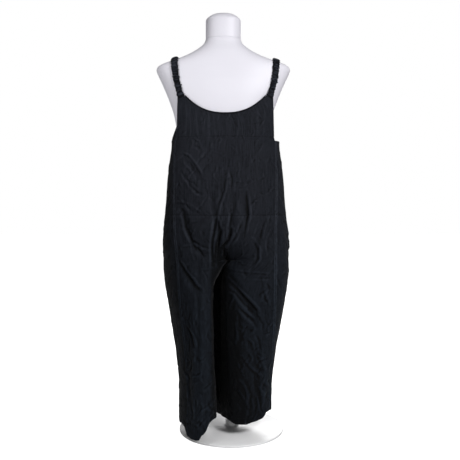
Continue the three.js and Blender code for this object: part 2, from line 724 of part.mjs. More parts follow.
function addNeck() {
  const base = formRing(NECK_JOINT);
  const rings = NECK_PROFILE.map(({ size, rise }) => {
    const z = rise <= 1 ? lerp(NECK_JOINT + SEAM_GAP, NECK_TOP, rise) : NECK_TOP + NECK_DOME * (1 - size ** 3);
    return base.map((p) => new THREE.Vector3(p.x * size, p.y * size, z));
  });
  solidThroughRings('form_neck', rings, WHITE);
}

/** A turned solid about the pole through rows of radius and height. */
function addTurned(name, profile, material) {
  const rings = profile.map(({ radius, z }) => Array.from({ length: ROUND_POINTS }, (_, i) => {
    const turn = (2 * Math.PI * i) / ROUND_POINTS;
    return new THREE.Vector3(POLE_X + radius * Math.cos(turn), radius * Math.sin(turn), z);
  }));
  solidThroughRings(name, rings, material);
}

function addStand() {
  addTurned('stand_base', [
    { radius: BASE_RADIUS - 1.5, z: 0 },
    { radius: BASE_RADIUS, z: 1.5 },
    { radius: BASE_RADIUS, z: BASE_THICKNESS - 2 },
    { radius: BASE_RADIUS - 3, z: BASE_THICKNESS },
    { radius: BOSS_RADIUS + 6, z: BASE_THICKNESS + 3 },
    { radius: BOSS_RADIUS, z: BASE_THICKNESS + 8 },
    { radius: BOSS_RADIUS, z: BOSS_TOP - 2 },
    { radius: BOSS_RADIUS - 2, z: BOSS_TOP },
  ], STEEL);
  const flangeBottom = FORM_BOTTOM - SEAM_GAP - FLANGE_THICKNESS;
  addTurned('stand_pole', [
    { radius: POLE_RADIUS, z: BOSS_TOP + SEAM_GAP },
    { radius: POLE_RADIUS, z: flangeBottom - SEAM_GAP },
  ], STEEL);
  addTurned('stand_flange', [
    { radius: BOSS_RADIUS, z: flangeBottom },
    { radius: FLANGE_RADIUS, z: flangeBottom + FLANGE_THICKNESS / 2 },
    { radius: FLANGE_RADIUS, z: flangeBottom + FLANGE_THICKNESS },
  ], STEEL);
}

addTorso();
addNeck();
addStand();
for (const face of ['back', 'front']) {
  addYoke(face);
  addNeckBinding(face);
  addBodice(face);
  addLeg(face, 'left');
  addLeg(face, 'right');
}
addStrap('left');
addStrap('right');

export default root;
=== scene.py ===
"""A washed black jumpsuit with ruched straps on a white dress form."""
import math

import bpy
import numpy as np
from mathutils import Matrix


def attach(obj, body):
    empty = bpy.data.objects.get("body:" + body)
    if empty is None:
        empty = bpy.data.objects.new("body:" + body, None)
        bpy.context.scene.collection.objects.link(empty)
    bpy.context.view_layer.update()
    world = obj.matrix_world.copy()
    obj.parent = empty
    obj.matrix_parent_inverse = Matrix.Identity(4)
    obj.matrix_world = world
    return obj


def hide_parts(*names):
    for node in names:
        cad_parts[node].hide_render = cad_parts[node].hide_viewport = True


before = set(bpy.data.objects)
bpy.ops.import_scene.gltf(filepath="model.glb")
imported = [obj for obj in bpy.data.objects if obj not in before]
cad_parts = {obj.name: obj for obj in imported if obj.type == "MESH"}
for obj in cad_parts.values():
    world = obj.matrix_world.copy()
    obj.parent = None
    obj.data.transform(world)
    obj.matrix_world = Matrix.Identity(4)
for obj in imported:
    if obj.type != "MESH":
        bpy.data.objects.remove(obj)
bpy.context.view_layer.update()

MM = 0.001

# ------------------------------------------------- the garment's sizes, in millimetres

GARMENT_X = 7
WALL = 1.6
CROTCH = 545
SPLIT_START = 650
LEG_SHAPE_FROM = 720
LEG_SHAPE_TO = 400
ARCH_EDGE = 0.4
ARCH_FOOT = 480
WAIST_SEAM = 686
ARMHOLE = 914
UNDERARM_RISE = 1.2
UNDERARM_REACH = 44
CHEST_SEAM = 925
NECKLINE = 998
TAB_TOP = 1058
TAB_INNER = 127
SCOOP_POWER = 2.4
YOKE_EDGE = 147
YOKE_FLARE = 0.026
BINDING_HEIGHT = 5
BINDING_WALL = 2.8
BODY_SQUARE = 2.4
LEG_SQUARE = 2.2
INNER_SQUARE = {"left": 3.4, "right": 3.0}
FORM_SQUARE = 2.4

# Where the right leg's back falls away beside the left leg: at two heights, the distances from
# the middle between which the hollow runs out, and the depths between which it does
HOLLOW_DEPTH = {"left": 0, "right": 40}
HOLLOW_LOW = (60, -26, 24)
HOLLOW_HIGH = (450, -16, 2)
HOLLOW_TOP = 475
HOLLOW_BACK = -90
HOLLOW_FRONT = 110

# Which way each half lies from the middle
SIDE_OF = {"left": -1, "right": 1}

COLUMNS = ("z", "side", "inner", "back", "front", "seam", "lean")

# Horizontal sections above the legs: half width, inner side, depth of the back and of the front,
# where the side seam lies, and how far the section shifts sideways with depth.
BODY = [
    (628, 197, 0, 139, 139, 153, 0),
    (686, 192, 0, 134, 139, 155, 0),
    (730, 188, 0, 129, 138, 157, 0),
    (781, 185, 0, 124, 137, 157, 0),
    (832, 180, 0, 119, 137, 157, 0),
    (909, 171, 0, 113, 135.5, 155.5, 0),
    (925, 172, 0, 112, 135, 150.8, 0),
    (960, 177, 0, 110.5, 134, 150, 0),
    (998, 182, 0, 109.5, 129.5, 149, 0),
    (1017, 185, 0, 109, 125, 148, 0),
    (1043, 187, 0, 107.5, 119, 147, 0),
    (1058, 190, 0, 106, 115, 147, 0),
]

# Horizontal sections round the crotch and down each leg
LEGS = {
    "left": [
        (15, 154, 45, 151, 28, 113, 0.2),
        (150, 153, 48, 151, 44, 116, 0.2),
        (250, 160, 53, 150, 64, 122, 0.2),
        (346, 174, 54, 148, 86, 130, 0.2),
        (400, 183, 54, 146, 98, 135, 0.2),
        (460, 192, 52, 143, 112, 139, 0.2),
        (500, 195, 38, 140, 122, 142, 0.2),
        (530, 196, 17, 138, 129, 144, 0.18),
        (545, 197, 1.2, 137, 133, 145, 0.14),
        (589, 200, 0, 140, 138, 149, 0.06),
    ],
    "right": [
        (15, 137, -41, 98, 60, 135, 0.2),
        (150, 139, -44, 104, 70, 139, 0.2),
        (250, 150, -49, 112, 82, 142, 0.2),
        (346, 167, -50, 122, 98, 147, 0.2),
        (400, 177, -50, 128, 106, 149, 0.2),
        (460, 187, -45, 134, 116, 150, 0.2),
        (500, 192, -30, 136, 124, 151, 0.2),
        (530, 194, -11, 137, 129, 152, 0.18),
        (545, 195, 1.2, 137, 133, 152, 0.14),
        (589, 198, 0, 140, 138, 153, 0.06),
    ],
}

# The hem's height at degrees round each leg from its outer side: 90 is the middle of the back.
HEM_COLUMNS = ("z", "height")
HEMS = {
    "left": [
        (-180, 79), (-90, 53), (0, 42), (18, 48), (29, 48), (46, 23), (70, 17), (82, 18), (93, 41),
        (103, 68), (120, 78), (180, 78),
    ],
    "right": [
        (-180, 57), (-90, 60), (0, 70), (18, 75), (33, 80), (46, 79), (58, 64), (70, 58), (82, 54),
        (93, 47), (103, 47), (120, 57), (180, 57),
    ],
}

# The largest folds, which the solids have too: both ends seen square on, height and width
FOLDS = {
    "back": [
        (-124, 678, -104, 606, -5, 11),
        (-104, 606, -56, 556, -5, 10),
        (-136, 537, -85, 468, -5, 12),
        (-120, 858, -68, 792, -4, 11),
        (-138, 717, -106, 652, -4, 10),
        (60, 738, 66, 660, -4, 10),
        (118, 660, 88, 567, -5, 13),
        (14, 507, 98, 372, -6, 13),
        (-12, 548, -38, 750, -4, 9),
        (8, 552, 30, 745, -4, 9),
        (-22, 650, -12, 524, -6, 15),
        (-64, 470, -66, 60, 6, 22),
        (-112, 420, -118, 70, -6, 17),
        (52, 330, 60, 60, 5, 24),
        (98, 300, 102, 60, -5, 15),
    ],
    "front": [
        (-96, 850, -58, 700, -5, 15),
        (104, 840, 66, 690, -5, 15),
        (-130, 640, -60, 560, -5, 14),
        (130, 650, 64, 566, -5, 14),
        (-12, 552, -34, 740, -4, 10),
        (12, 552, 36, 730, -4, 10),
        (-96, 480, -100, 60, 5, 22),
        (96, 480, 78, 60, 5, 22),
        (130, 420, 110, 80, -5, 15),
    ],
}

# Creases: the points that each runs through, seen square on, its depth and its width.
# A negative depth is a ridge.
CREASES = {
    "back": [
        ([(-131, 872), (-113, 864), (-93, 838), (-74, 808)], 1.7, 3.4),
        ([(-121, 810), (-103, 774), (-85, 756), (-70, 750)], 1.8, 3.6),
        ([(-138, 846), (-112, 822), (-98, 800)], 0.9, 3.4),
        ([(-134, 820), (-120, 796), (-104, 786)], 0.9, 3.2),
        ([(-110, 850), (-96, 826)], 0.8, 3.0),
        ([(-100, 790), (-84, 772)], 1.0, 3.2),
        ([(-147, 722), (-121, 719), (-92, 692)], 1.3, 3.6),
        ([(-128, 744), (-116, 716), (-104, 700)], 1.0, 3.4),
        ([(-110, 716), (-90, 700), (-74, 688)], 1.4, 3.6),
        ([(-131, 700), (-121, 652), (-102, 612), (-89, 583)], 2.8, 4.6),
        ([(-140, 690), (-134, 656), (-128, 626)], 1.6, 4.0),
        ([(-104, 612), (-87, 604), (-74, 594), (-50, 588)], 2.6, 3.8),
        ([(-84, 594), (-74, 576), (-63, 560)], 1.9, 3.6),
        ([(-100, 590), (-92, 566), (-86, 548)], 1.2, 3.4),
        ([(-140, 545), (-120, 514), (-87, 473), (-74, 462)], 2.8, 4.4),
        ([(-128, 552), (-112, 524), (-96, 506)], 1.2, 3.6),
        ([(11, 854), (3, 813), (-4, 761), (-20, 714), (-30, 668), (-33, 621)], 1.8, 3.6),
        ([(11, 833), (21, 797), (19, 761), (11, 714)], 1.4, 3.4),
        ([(34, 852), (38, 824), (30, 800)], 0.8, 3.2),
        ([(48, 836), (46, 806), (52, 784)], 0.7, 3.2),
        ([(28, 786), (46, 782), (60, 784)], 0.6, 2.8),
        ([(30, 770), (44, 768), (56, 770)], 0.6, 2.8),
        ([(63, 756), (68, 714), (69, 686), (64, 665), (57, 622)], 2.8, 4.0),
        ([(20, 702), (17, 672), (12, 646)], 2.4, 3.4),
        ([(-20, 666), (-15, 636), (-18, 610), (-20, 588), (-20, 562)], 7.4, 4.8),
        ([(-27, 672), (-31, 650), (-36, 620), (-39, 590), (-37, 560), (-36, 536)], 5.2, 4.2),
        ([(17, 644), (15, 630), (9, 611), (-4, 591), (0, 569), (-2, 545)], 8.0, 5.0),
        ([(-8, 664), (-8, 640), (-12, 622)], 2.0, 3.2),
        ([(-10, 600), (-10, 576), (-14, 550)], 2.4, 3.2),
        ([(-28, 606), (-29, 576), (-30, 548)], 3.0, 3.4),
        ([(38, 636), (26, 612), (14, 596)], 1.4, 3.6),
        ([(46, 664), (44, 646), (36, 632)], 1.2, 3.4),
        ([(122, 673), (112, 642), (107, 611)], 1.8, 4.0),
        ([(104, 668), (98, 640), (90, 622)], 1.0, 3.4),
        ([(82, 611), (98, 586), (98, 555), (80, 530)], 2.6, 4.0),
        ([(132, 622), (128, 590), (134, 560)], 1.3, 3.6),
        ([(42, 549), (60, 550), (80, 547)], -0.6, 2.6),
        ([(34, 541), (60, 540), (86, 530)], -0.7, 2.8),
        ([(8, 517), (60, 512), (100, 510), (141, 506)], 1.1, 2.8),
        ([(76, 500), (110, 497), (140, 498)], 0.9, 2.8),
        ([(6, 489), (24, 473), (70, 427), (93, 402), (98, 391)], 3.2, 4.2),
        ([(8, 463), (29, 453), (49, 427), (80, 396)], 2.6, 3.8),
        ([(28, 470), (52, 446), (70, 418)], 1.4, 3.4),
        ([(70, 381), (85, 366), (95, 350)], 2.4, 3.6),
        ([(24, 450), (11, 422), (6, 401)], 2.6, 3.6),
        ([(40, 410), (58, 392), (72, 372)], 2.0, 3.8),
        ([(52, 398), (74, 380), (90, 366)], 1.8, 3.6),
        ([(116, 437), (131, 422)], 1.6, 3.4),
        ([(110, 468), (120, 440), (118, 416)], 1.4, 3.6),
        ([(126, 486), (136, 456)], 1.1, 3.4),
        ([(24, 366), (29, 335), (24, 294)], 2.1, 3.8),
        ([(36, 352), (48, 326), (44, 300)], 1.6, 3.6),
        ([(8, 318), (30, 290)], 1.8, 3.6),
        ([(42, 358), (56, 340)], 1.6, 3.6),
        ([(60, 316), (78, 298), (84, 272)], 1.7, 3.6),
        ([(92, 330), (104, 306), (108, 282)], 1.5, 3.6),
        ([(-115, 350), (-99, 325), (-92, 294)], 3.0, 3.8),
        ([(-122, 330), (-112, 300), (-108, 270)], 1.4, 3.4),
        ([(-88, 372), (-92, 340), (-84, 312)], 1.2, 3.4),
        ([(-96, 210), (-84, 214), (-74, 220)], 1.4, 3.0),
        ([(-98, 200), (-82, 204)], 1.1, 2.8),
        ([(-92, 190), (-78, 198)], 0.9, 2.8),
        ([(-104, 122), (-97, 97), (-99, 76)], 2.1, 3.6),
        ([(-88, 150), (-84, 120), (-88, 92)], 1.3, 3.4),
        ([(49, 256), (70, 225), (90, 204), (110, 184)], 2.3, 3.8),
        ([(30, 262), (48, 236), (56, 212)], 1.8, 3.6),
        ([(111, 230), (121, 204)], 1.8, 3.4),
        ([(96, 262), (106, 240), (116, 226)], 1.5, 3.4),
        ([(24, 158), (44, 138), (59, 112), (64, 97)], 2.6, 3.8),
        ([(29, 128), (49, 107), (54, 87)], 2.2, 3.6),
        ([(36, 188), (52, 166), (64, 140)], 1.9, 3.6),
        ([(60, 182), (72, 160), (74, 136)], 1.7, 3.4),
        ([(90, 174), (104, 148), (112, 120)], 1.9, 3.6),
        ([(80, 148), (75, 122), (76, 96)], 1.9, 3.6),
        ([(39, 225), (50, 200), (60, 196)], 1.7, 3.4),
        ([(104, 128), (110, 100)], 1.7, 3.4),
        ([(92, 128), (96, 104), (92, 84)], 1.6, 3.4),
        ([(122, 170), (128, 140), (126, 112)], 1.4, 3.4),
        ([(18, 210), (24, 180), (22, 150)], 1.6, 3.6),
        ([(-77, 560), (-78, 420), (-79, 250), (-74, 110)], 1.4, 6.0),
        ([(-125, 240), (-120, 174), (-112, 128), (-102, 97)], -1.8, 4.6),
    ],
    "front": [
        ([(-118, 850), (-94, 812), (-84, 770)], 1.8, 4.6),
        ([(-126, 796), (-108, 764), (-92, 750)], 1.4, 4.2),
        ([(114, 846), (92, 806), (80, 768)], 1.8, 4.6),
        ([(104, 776), (86, 752), (74, 722)], 1.4, 4.2),
        ([(-2, 880), (2, 830), (0, 766)], 1.3, 4.4),
        ([(-8, 556), (-24, 640), (-44, 706)], 2.8, 5.0),
        ([(-2, 556), (-8, 650), (-12, 740)], 2.4, 4.8),
        ([(4, 556), (12, 640), (18, 728)], 2.4, 4.8),
        ([(12, 560), (32, 630), (50, 690)], 2.6, 5.0),
        ([(-112, 690), (-92, 640), (-58, 600)], 2.0, 4.8),
        ([(110, 696), (90, 644), (60, 598)], 2.0, 4.8),
        ([(-24, 520), (-64, 462), (-100, 400)], 2.2, 4.8),
        ([(-20, 480), (-50, 430), (-66, 396)], 1.6, 4.4),
        ([(26, 516), (66, 456), (98, 396)], 2.4, 4.8),
        ([(-80, 330), (-96, 300), (-112, 270)], 1.8, 4.6),
        ([(60, 300), (76, 270), (90, 236)], 1.8, 4.6),
        ([(-70, 200), (-84, 170), (-80, 130)], 1.8, 4.6),
        ([(-104, 170), (-112, 140), (-106, 110)], 1.6, 4.2),
        ([(70, 190), (84, 160), (80, 120)], 1.8, 4.6),
        ([(108, 180), (100, 150), (104, 124)], 1.6, 4.2),
        ([(34, 240), (44, 210), (40, 180)], 1.5, 4.2),
    ],
}

# Creases on the turned-away sides, seen from the side: depth from the middle and height
SIDE_CREASES = {
    "left": [
        ([(-60, 860), (-20, 820), (30, 790)], 1.8, 5.0),
        ([(-50, 700), (-10, 670), (40, 650)], 1.8, 5.0),
        ([(-70, 590), (-30, 560), (20, 540)], 2.2, 5.5),
        ([(-60, 520), (-20, 470), (10, 430)], 2.0, 5.0),
        ([(0, 600), (10, 520), (-6, 440)], 2.0, 8.0),
        ([(-90, 380), (-70, 300), (-76, 220)], 1.8, 6.0),
        ([(-20, 360), (-30, 260), (-22, 150)], 2.4, 8.0),
        ([(-50, 180), (-40, 130), (-48, 90)], 1.8, 5.0),
        ([(10, 260), (24, 200), (16, 130)], 2.0, 6.0),
        ([(-78, 676), (-58, 656), (-40, 650)], 2.2, 4.4),
        ([(-84, 640), (-62, 622), (-46, 616)], 2.6, 4.6),
        ([(-80, 606), (-60, 600), (-40, 586)], 2.2, 4.2),
        ([(-88, 570), (-70, 548), (-52, 540)], 2.8, 4.8),
        ([(-92, 536), (-74, 512), (-60, 500)], 2.4, 4.4),
        ([(-84, 500), (-70, 478), (-50, 470)], 2.2, 4.4),
        ([(-94, 470), (-84, 440), (-70, 420)], 2.0, 4.4),
        ([(-70, 880), (-64, 850), (-70, 820)], 1.4, 4.0),
        ([(-66, 790), (-60, 760), (-68, 730)], 1.6, 4.2),
        ([(-60, 400), (-52, 370), (-58, 340)], 1.8, 4.4),
        ([(-84, 340), (-80, 310), (-86, 280)], 1.6, 4.2),
        ([(-50, 300), (-44, 270), (-50, 240)], 1.6, 4.4),
    ],
    "right": [
        ([(-60, 860), (-10, 834), (40, 800)], 1.8, 5.0),
        ([(-66, 590), (-30, 570), (30, 536)], 2.2, 5.5),
        ([(-50, 500), (-20, 460), (20, 430)], 2.0, 5.0),
        ([(0, 600), (-8, 520), (6, 420)], 2.0, 8.0),
        ([(-60, 360), (-50, 280), (-56, 200)], 1.8, 6.0),
        ([(10, 340), (2, 240), (10, 140)], 2.4, 8.0),
        ([(-30, 200), (-24, 150), (-30, 100)], 1.8, 5.0),
        ([(-30, 650), (-20, 604), (-12, 566)], -4.0, 11.0),
        ([(-78, 690), (-60, 664), (-48, 656)], 1.8, 4.4),
        ([(-72, 640), (-58, 618), (-44, 612)], 2.0, 4.4),
        ([(-80, 600), (-64, 584), (-48, 560)], 2.2, 4.6),
        ([(-84, 560), (-70, 536), (-56, 524)], 2.0, 4.4),
        ([(-76, 520), (-60, 500), (-50, 476)], 1.8, 4.4),
        ([(-66, 440), (-56, 412), (-60, 384)], 1.8, 4.4),
        ([(-70, 880), (-62, 846), (-68, 816)], 1.2, 4.0),
        ([(-62, 780), (-56, 750), (-64, 724)], 1.4, 4.2),
        ([(-44, 320), (-36, 290), (-42, 260)], 1.6, 4.4),
    ],
}

# The pocket mouth on each side, seen from the side, from the seam down to its lower end
POCKET = [(-76, 754), (-58, 734), (-44, 706), (-36, 672), (-34, 640), (-44, 616)]
POCKET_DEPTH = 2.6
POCKET_WIDTH = 2.6
POCKET_LIP = 2.2

# Across a crease, in widths of it: where its lip stands, how wide the lip is, and how high, as a
# share of the crease's depth and in all
LIP_AWAY = 1.9
LIP_WIDTH = 0.95
LIP_SHARE = 0.7
LIP_MOST = 2.2

# A crease this deep gets painted shade at its bottom
DEEP_CREASE = 2.8

# Small creases left by washing: how many on each face and on each side
WASH_CREASES = 620
SIDE_WASH_CREASES = 260
WASH_SEED = 11

# Soft fullness where the cloth is filled out: height, then place and reach seen square on, and
# for the inseams round the leg and up it
SEAT_FILL = 6.0
SEAT_AT = (12, 546)
SEAT_REACH = (20, 26)
INSEAM_FULLNESS = {"left": 3.2, "right": 2.2}
INSEAM_AT = (0, 505)
INSEAM_REACH = (0.6, 28)

RIPPLES = 15
RIPPLES_EDGE = 128
CRINKLE_WAVES = 22
CRINKLE = 0.07

# About a full turn, for a wave that may start anywhere
ANY_START = 6.28

# Horizontal sections of the dress form: height, half width, depth of the back and of the front
FORM_COLUMNS = ("z", "side", "back", "front")
FORM = [
    (592, 150, 104, 94),
    (600, 158, 111, 100),
    (622, 163, 115, 104),
    (660, 156, 112, 104),
    (720, 131, 96, 98),
    (780, 118, 84, 93),
    (840, 122, 88, 98),
    (900, 136, 96, 113),
    (960, 149, 102, 129),
    (1000, 157, 104, 125),
    (1050, 174, 103, 111),
    (1100, 195, 97, 92),
    (1128, 208, 90, 84),
    (1143, 213, 86, 80),
    (1153, 209, 83, 77),
    (1160, 198, 81, 75),
    (1171, 168, 78, 72),
    (1184, 131, 74, 69),
    (1200, 98, 68, 66),
    (1216, 74, 60, 62),
    (1229, 61, 54, 60),
    (1242, 56, 51, 59),
]

STRAP_CORE = 1080
STRAP_TAB_X = 137
STRAP_TOP_X = 160
STRAP_STEPS = 20
STRAP_LIFT = 3.6
STRAP_WIDTH = 24
STRAP_TURN = 50
STRAP_THICKNESS = 4.4
GATHER_PITCH = 10
STRAP_LAP = 12
STRAP_OVER = 1.2
STRAP_SQUARE = 2.6
STRAP_SIDES = 52
STRAP_RING_GAP = 0.9
STRAP_SEED = {"left": 31, "right": 47}
SEAM_GAP = 0.3

# How much longer the strap's cloth is than the strap, for the weave on it
GATHERED = 1.7
RUFFLES_TO_GATHER = 1.5

# How much less than half its width and half its thickness the strap is under its ruffles, how
# much wider it is again at its ends and how far those reach, and what is left there of the
# ruffles and everywhere of the side that lies on the form
STRAP_SLIMMER = 1.6
STRAP_THINNER = 0.8
STRAP_END_WIDER = 0.6
STRAP_PLAIN_END = 6
STRAP_END_RUFFLE = 0.35
STRAP_UNDERSIDE = 0.35

# ---------------------------------------------------------------- curves through the tables


def smooth(value, low, high):
    """0 below low, 1 above high, and a soft curve between them."""
    k = np.clip((value - low) / (high - low), 0, 1)
    return k * k * (3 - 2 * k)


def lerp(a, b, k):
    """From a to b by a share of the way."""
    return a + (b - a) * k


def value_at(rows, columns, column, z):
    """A column of a table at many heights, by a monotone cubic through its rows."""
    heights = np.array([row[0] for row in rows], float)
    values = np.array([row[columns.index(column)] for row in rows], float)
    slopes = np.diff(values) / np.diff(heights)
    before, after = slopes[:-1], slopes[1:]
    total = np.where(before + after == 0, 1, before + after)
    inner = np.where(before * after <= 0, 0, 2 * before * after / total)
    tangents = np.concatenate([slopes[:1], inner, slopes[-1:]])
    z = np.asarray(z, float)
    i = np.clip(np.searchsorted(heights, z, side="right") - 1, 0, len(rows) - 2)
    step = heights[i + 1] - heights[i]
    k = np.clip((z - heights[i]) / step, 0, 1)
    bend = k * k * (3 - 2 * k)
    return (
        lerp(values[i], values[i + 1], bend)
        + step * tangents[i] * k * (1 - k) ** 2
        - step * tangents[i + 1] * k * k * (1 - k)
    )


def square_round(angle, square):
    """How far along each axis a point of a superellipse lies, at an angle."""
    c, s = np.cos(angle), np.sin(angle)
    return np.sign(c) * np.abs(c) ** (2 / square), np.sign(s) * np.abs(s) ** (2 / square)


ROWS = {half: LEGS[half] + BODY for half in LEGS}

# ---------------------------------------------------------------- the garment's surface


def body_share(z, inward):
    """1 where the section is one body, 0 in the legs. The middle arches down to the crotch."""
    rise = np.clip((z - CROTCH) / (SPLIT_START - CROTCH), 0, 1)
    arch = np.sqrt(1 - (1 - rise) ** 2)
    near = smooth(inward, ARCH_EDGE, 1)
    beside = smooth(z, ARCH_FOOT, SPLIT_START)
    return lerp(smooth(z, LEG_SHAPE_TO, LEG_SHAPE_FROM), lerp(beside, arch, near**3), near)


def hollow_share(x, y, z):
    """Where the right leg's back falls away beside the left leg."""
    up = smooth(z, HOLLOW_LOW[0], HOLLOW_HIGH[0])
    starts = lerp(HOLLOW_LOW[1], HOLLOW_HIGH[1], up)
    ends = lerp(HOLLOW_LOW[2], HOLLOW_HIGH[2], up)
    behind = 1 - smooth(y, HOLLOW_BACK, HOLLOW_FRONT)
    return (1 - smooth(x, starts, ends)) * behind * (1 - smooth(z, HOLLOW_TOP, CROTCH))


def cloth_point(half, angle, z):
    """The middle of the cloth round one half: 0 is outermost, pi innermost, the back above 0."""
    rows = ROWS[half]
    turn = np.abs(angle)
    side, inner, back, front, lean = (
        value_at(rows, COLUMNS, name, z) for name in ("side", "inner", "back", "front", "lean")
    )
    middle = (front - back) / 2 * smooth(CROTCH - z, -40, 120)
    depth = np.where(angle >= 0, -back - middle, front - middle)
    across, deep = square_round(turn, np.where(turn > np.pi / 2, INNER_SQUARE[half], LEG_SQUARE))
    leg_x, leg_y = lerp((side + inner) / 2, side, across), middle + depth * deep
    body_across, body_deep = square_round(turn / 2, BODY_SQUARE)
    share = body_share(z, (1 - across) / 2)
    y = lerp(leg_y, middle + depth * body_deep, share)
    x = GARMENT_X + SIDE_OF[half] * lerp(leg_x, side * body_across, share) - lean * y
    y = y + HOLLOW_DEPTH[half] * hollow_share(x - GARMENT_X, y, z)
    return np.stack([x, y, z * np.ones_like(x)], axis=-1)


def past(half, angle, z, turn):
    """The cloth a little further round, across the middle seam or the inseam if need be."""
    to = angle + turn
    over = np.abs(to) > np.pi
    own = cloth_point(half, np.where(over, to - np.sign(to) * 2 * np.pi, to), z)
    other_half = "right" if half == "left" else "left"
    other = cloth_point(other_half, np.where(over, np.sign(to) * (2 * np.pi - np.abs(to)), to), z)
    return np.where((over & (z >= CROTCH))[..., None], other, own)


def cloth_normal(half, angle, z):
    """Straight out from the cloth, worked out from its neighbours round and up."""
    round_it = past(half, angle, z, 0.03) - past(half, angle, z, -0.03)
    up = cloth_point(half, angle, z + 1.5) - cloth_point(half, angle, z - 1.5)
    normal = np.cross(round_it, up)
    normal /= np.linalg.norm(normal, axis=-1, keepdims=True)
    return normal if half == "left" else -normal


def seam_angle(half, z):
    """The angle at which the back of a half reaches the side seam's distance from the middle."""
    seam = value_at(ROWS[half], COLUMNS, "seam", z)
    inside = np.full_like(seam, np.pi * 0.55)
    outside = np.full_like(seam, 0.12)
    for _ in range(20):
        angle = (inside + outside) / 2
        nearer = np.abs(cloth_point(half, angle, z)[..., 0] - GARMENT_X) < seam
        inside, outside = np.where(nearer, angle, inside), np.where(nearer, outside, angle)
    return inside


# ---------------------------------------------------------------- folds and creases


def along_line(points, x, z):
    """How far each place is from a line through points, on which side, and how far along."""
    best = np.full(x.shape, np.inf)
    side, along = np.zeros(x.shape), np.zeros(x.shape)
    count = len(points) - 1
    for i, (start, end) in enumerate(zip(points, points[1:])):
        dx, dz = end[0] - start[0], end[1] - start[1]
        length2 = dx * dx + dz * dz
        k = np.clip(((x - start[0]) * dx + (z - start[1]) * dz) / length2, 0, 1)
        ax, az = x - start[0] - k * dx, z - start[1] - k * dz
        away = np.hypot(ax, az)
        nearer = away < best
        best = np.where(nearer, away, best)
        side = np.where(nearer, np.sign(ax * dz - az * dx), side)
        along = np.where(nearer, (i + k) / count, along)
    return best, side, along


def fold_height(face, x, z):
    """The folds that the solids have."""
    total = np.zeros(x.shape)
    for x1, z1, x2, z2, height, width in FOLDS[face]:
        away, _, along = along_line([(x1, z1), (x2, z2)], x, z)
        total += height * (0.35 + 0.65 * np.sin(np.pi * along)) * np.exp(-((away / width) ** 2))
    return total


def crease_height(creases, x, z):
    """Pinched troughs with a rounded lip on one side, uneven along their length."""
    total = np.zeros(x.shape)
    for number, (points, depth, width) in enumerate(creases):
        reach = 5 * width
        low, high = np.min(points, axis=0) - reach, np.max(points, axis=0) + reach
        near = (x > low[0]) & (x < high[0]) & (z > low[1]) & (z < high[1])
        if not near.any():
            continue
        away, side, along = along_line(points, x[near], z[near])
        lip_side = 1 if number % 2 else -1
        fade = np.sin(np.pi * np.clip(along, 0.04, 0.96)) ** 0.6
        fade *= 1 + 0.25 * np.sin(9 * along + number) + 0.18 * np.sin(23 * along + 2 * number)
        cross = np.hypot(away, 0.35 * width) - 0.35 * width
        trough = -np.exp(-cross / (0.75 * width))
        lip_height = min(LIP_SHARE, LIP_MOST / abs(depth))
        beside = np.exp(-(((away - LIP_AWAY * width) / (LIP_WIDTH * width)) ** 2))
        lip = lip_height * beside * (side == lip_side)
        total[near] += depth * fade * (trough + lip)
    return total


def crease_shade(creases, x, z):
    """Painted shade deep in the sharpest creases."""
    total = np.zeros(x.shape)
    for points, depth, width in creases:
        if depth >= DEEP_CREASE:
            away, _, along = along_line(points, x, z)
            fade = np.sin(np.pi * np.clip(along, 0.04, 0.96)) ** 0.5
            total = np.maximum(total, depth / 6 * fade * np.exp(-((away / (0.75 * width)) ** 2)))
    return total


def pocket_height(y, z):
    """The pocket's mouth: a slit with its front edge standing proud."""
    away, side, along = along_line(POCKET, y, z)
    fade = smooth(along, 0.0, 0.12) * (1 - smooth(along, 0.86, 1.0))
    slit = -POCKET_DEPTH * np.exp(-((away / POCKET_WIDTH) ** 2))
    lip = POCKET_LIP * np.exp(-(((away - 5) / 4.5) ** 2)) * (side > 0)
    return fade * (slit + lip)


def wash_creases(seed):
    """Short shallow creases scattered over a face, mostly upright, more of them low on the legs."""
    random = np.random.default_rng(seed)
    creases = []
    for _ in range(WASH_CREASES):
        x = random.uniform(-190, 190)
        z = 50 + 970 * random.random() ** 1.35
        lean = random.normal(0, 0.5)
        length = random.uniform(9, 40)
        dx, dz = length * math.sin(lean), length * math.cos(lean)
        bow = random.normal(0, 0.16) * length
        points = [(x - dx / 2, z + dz / 2), (x + bow, z), (x + dx / 2, z - dz / 2)]
        depth = random.uniform(0.3, 1.0) * (1 + 0.9 * (1 - float(smooth(z, 150, 620))))
        creases.append((points, depth, random.uniform(1.9, 3.6)))
    return creases


def crinkle_waves(seed):
    """Waves of many lengths and directions, which make up the unevenness of washed cloth."""
    random = np.random.default_rng(seed)
    waves = []
    for length in np.geomspace(11, 46, CRINKLE_WAVES):
        turn = random.normal(0, 0.75)
        start = random.uniform(0, ANY_START)
        patch = random.uniform(50, 130)
        shift = random.uniform(0, ANY_START)
        waves.append((length, turn, start, patch, shift))
    return waves


def crinkle_height(waves, x, z):
    """The waves together: each bends along its own length, and none is strong all over."""
    total = np.zeros(x.shape)
    for length, turn, start, patch, shift in waves:
        across = x * math.cos(turn) + z * math.sin(turn)
        along = z * math.cos(turn) - x * math.sin(turn)
        bend = 0.35 * length * np.sin(along / (1.4 * length) + shift)
        strength = np.sin(x / patch + shift) * np.sin(z / (1.7 * patch) + start)
        total += length * strength * np.sin(2 * np.pi * (across + bend) / length + start)
    low = 1 - smooth(z, 200, 760)
    return total * CRINKLE / CRINKLE_WAVES * (0.55 + 0.75 * low)


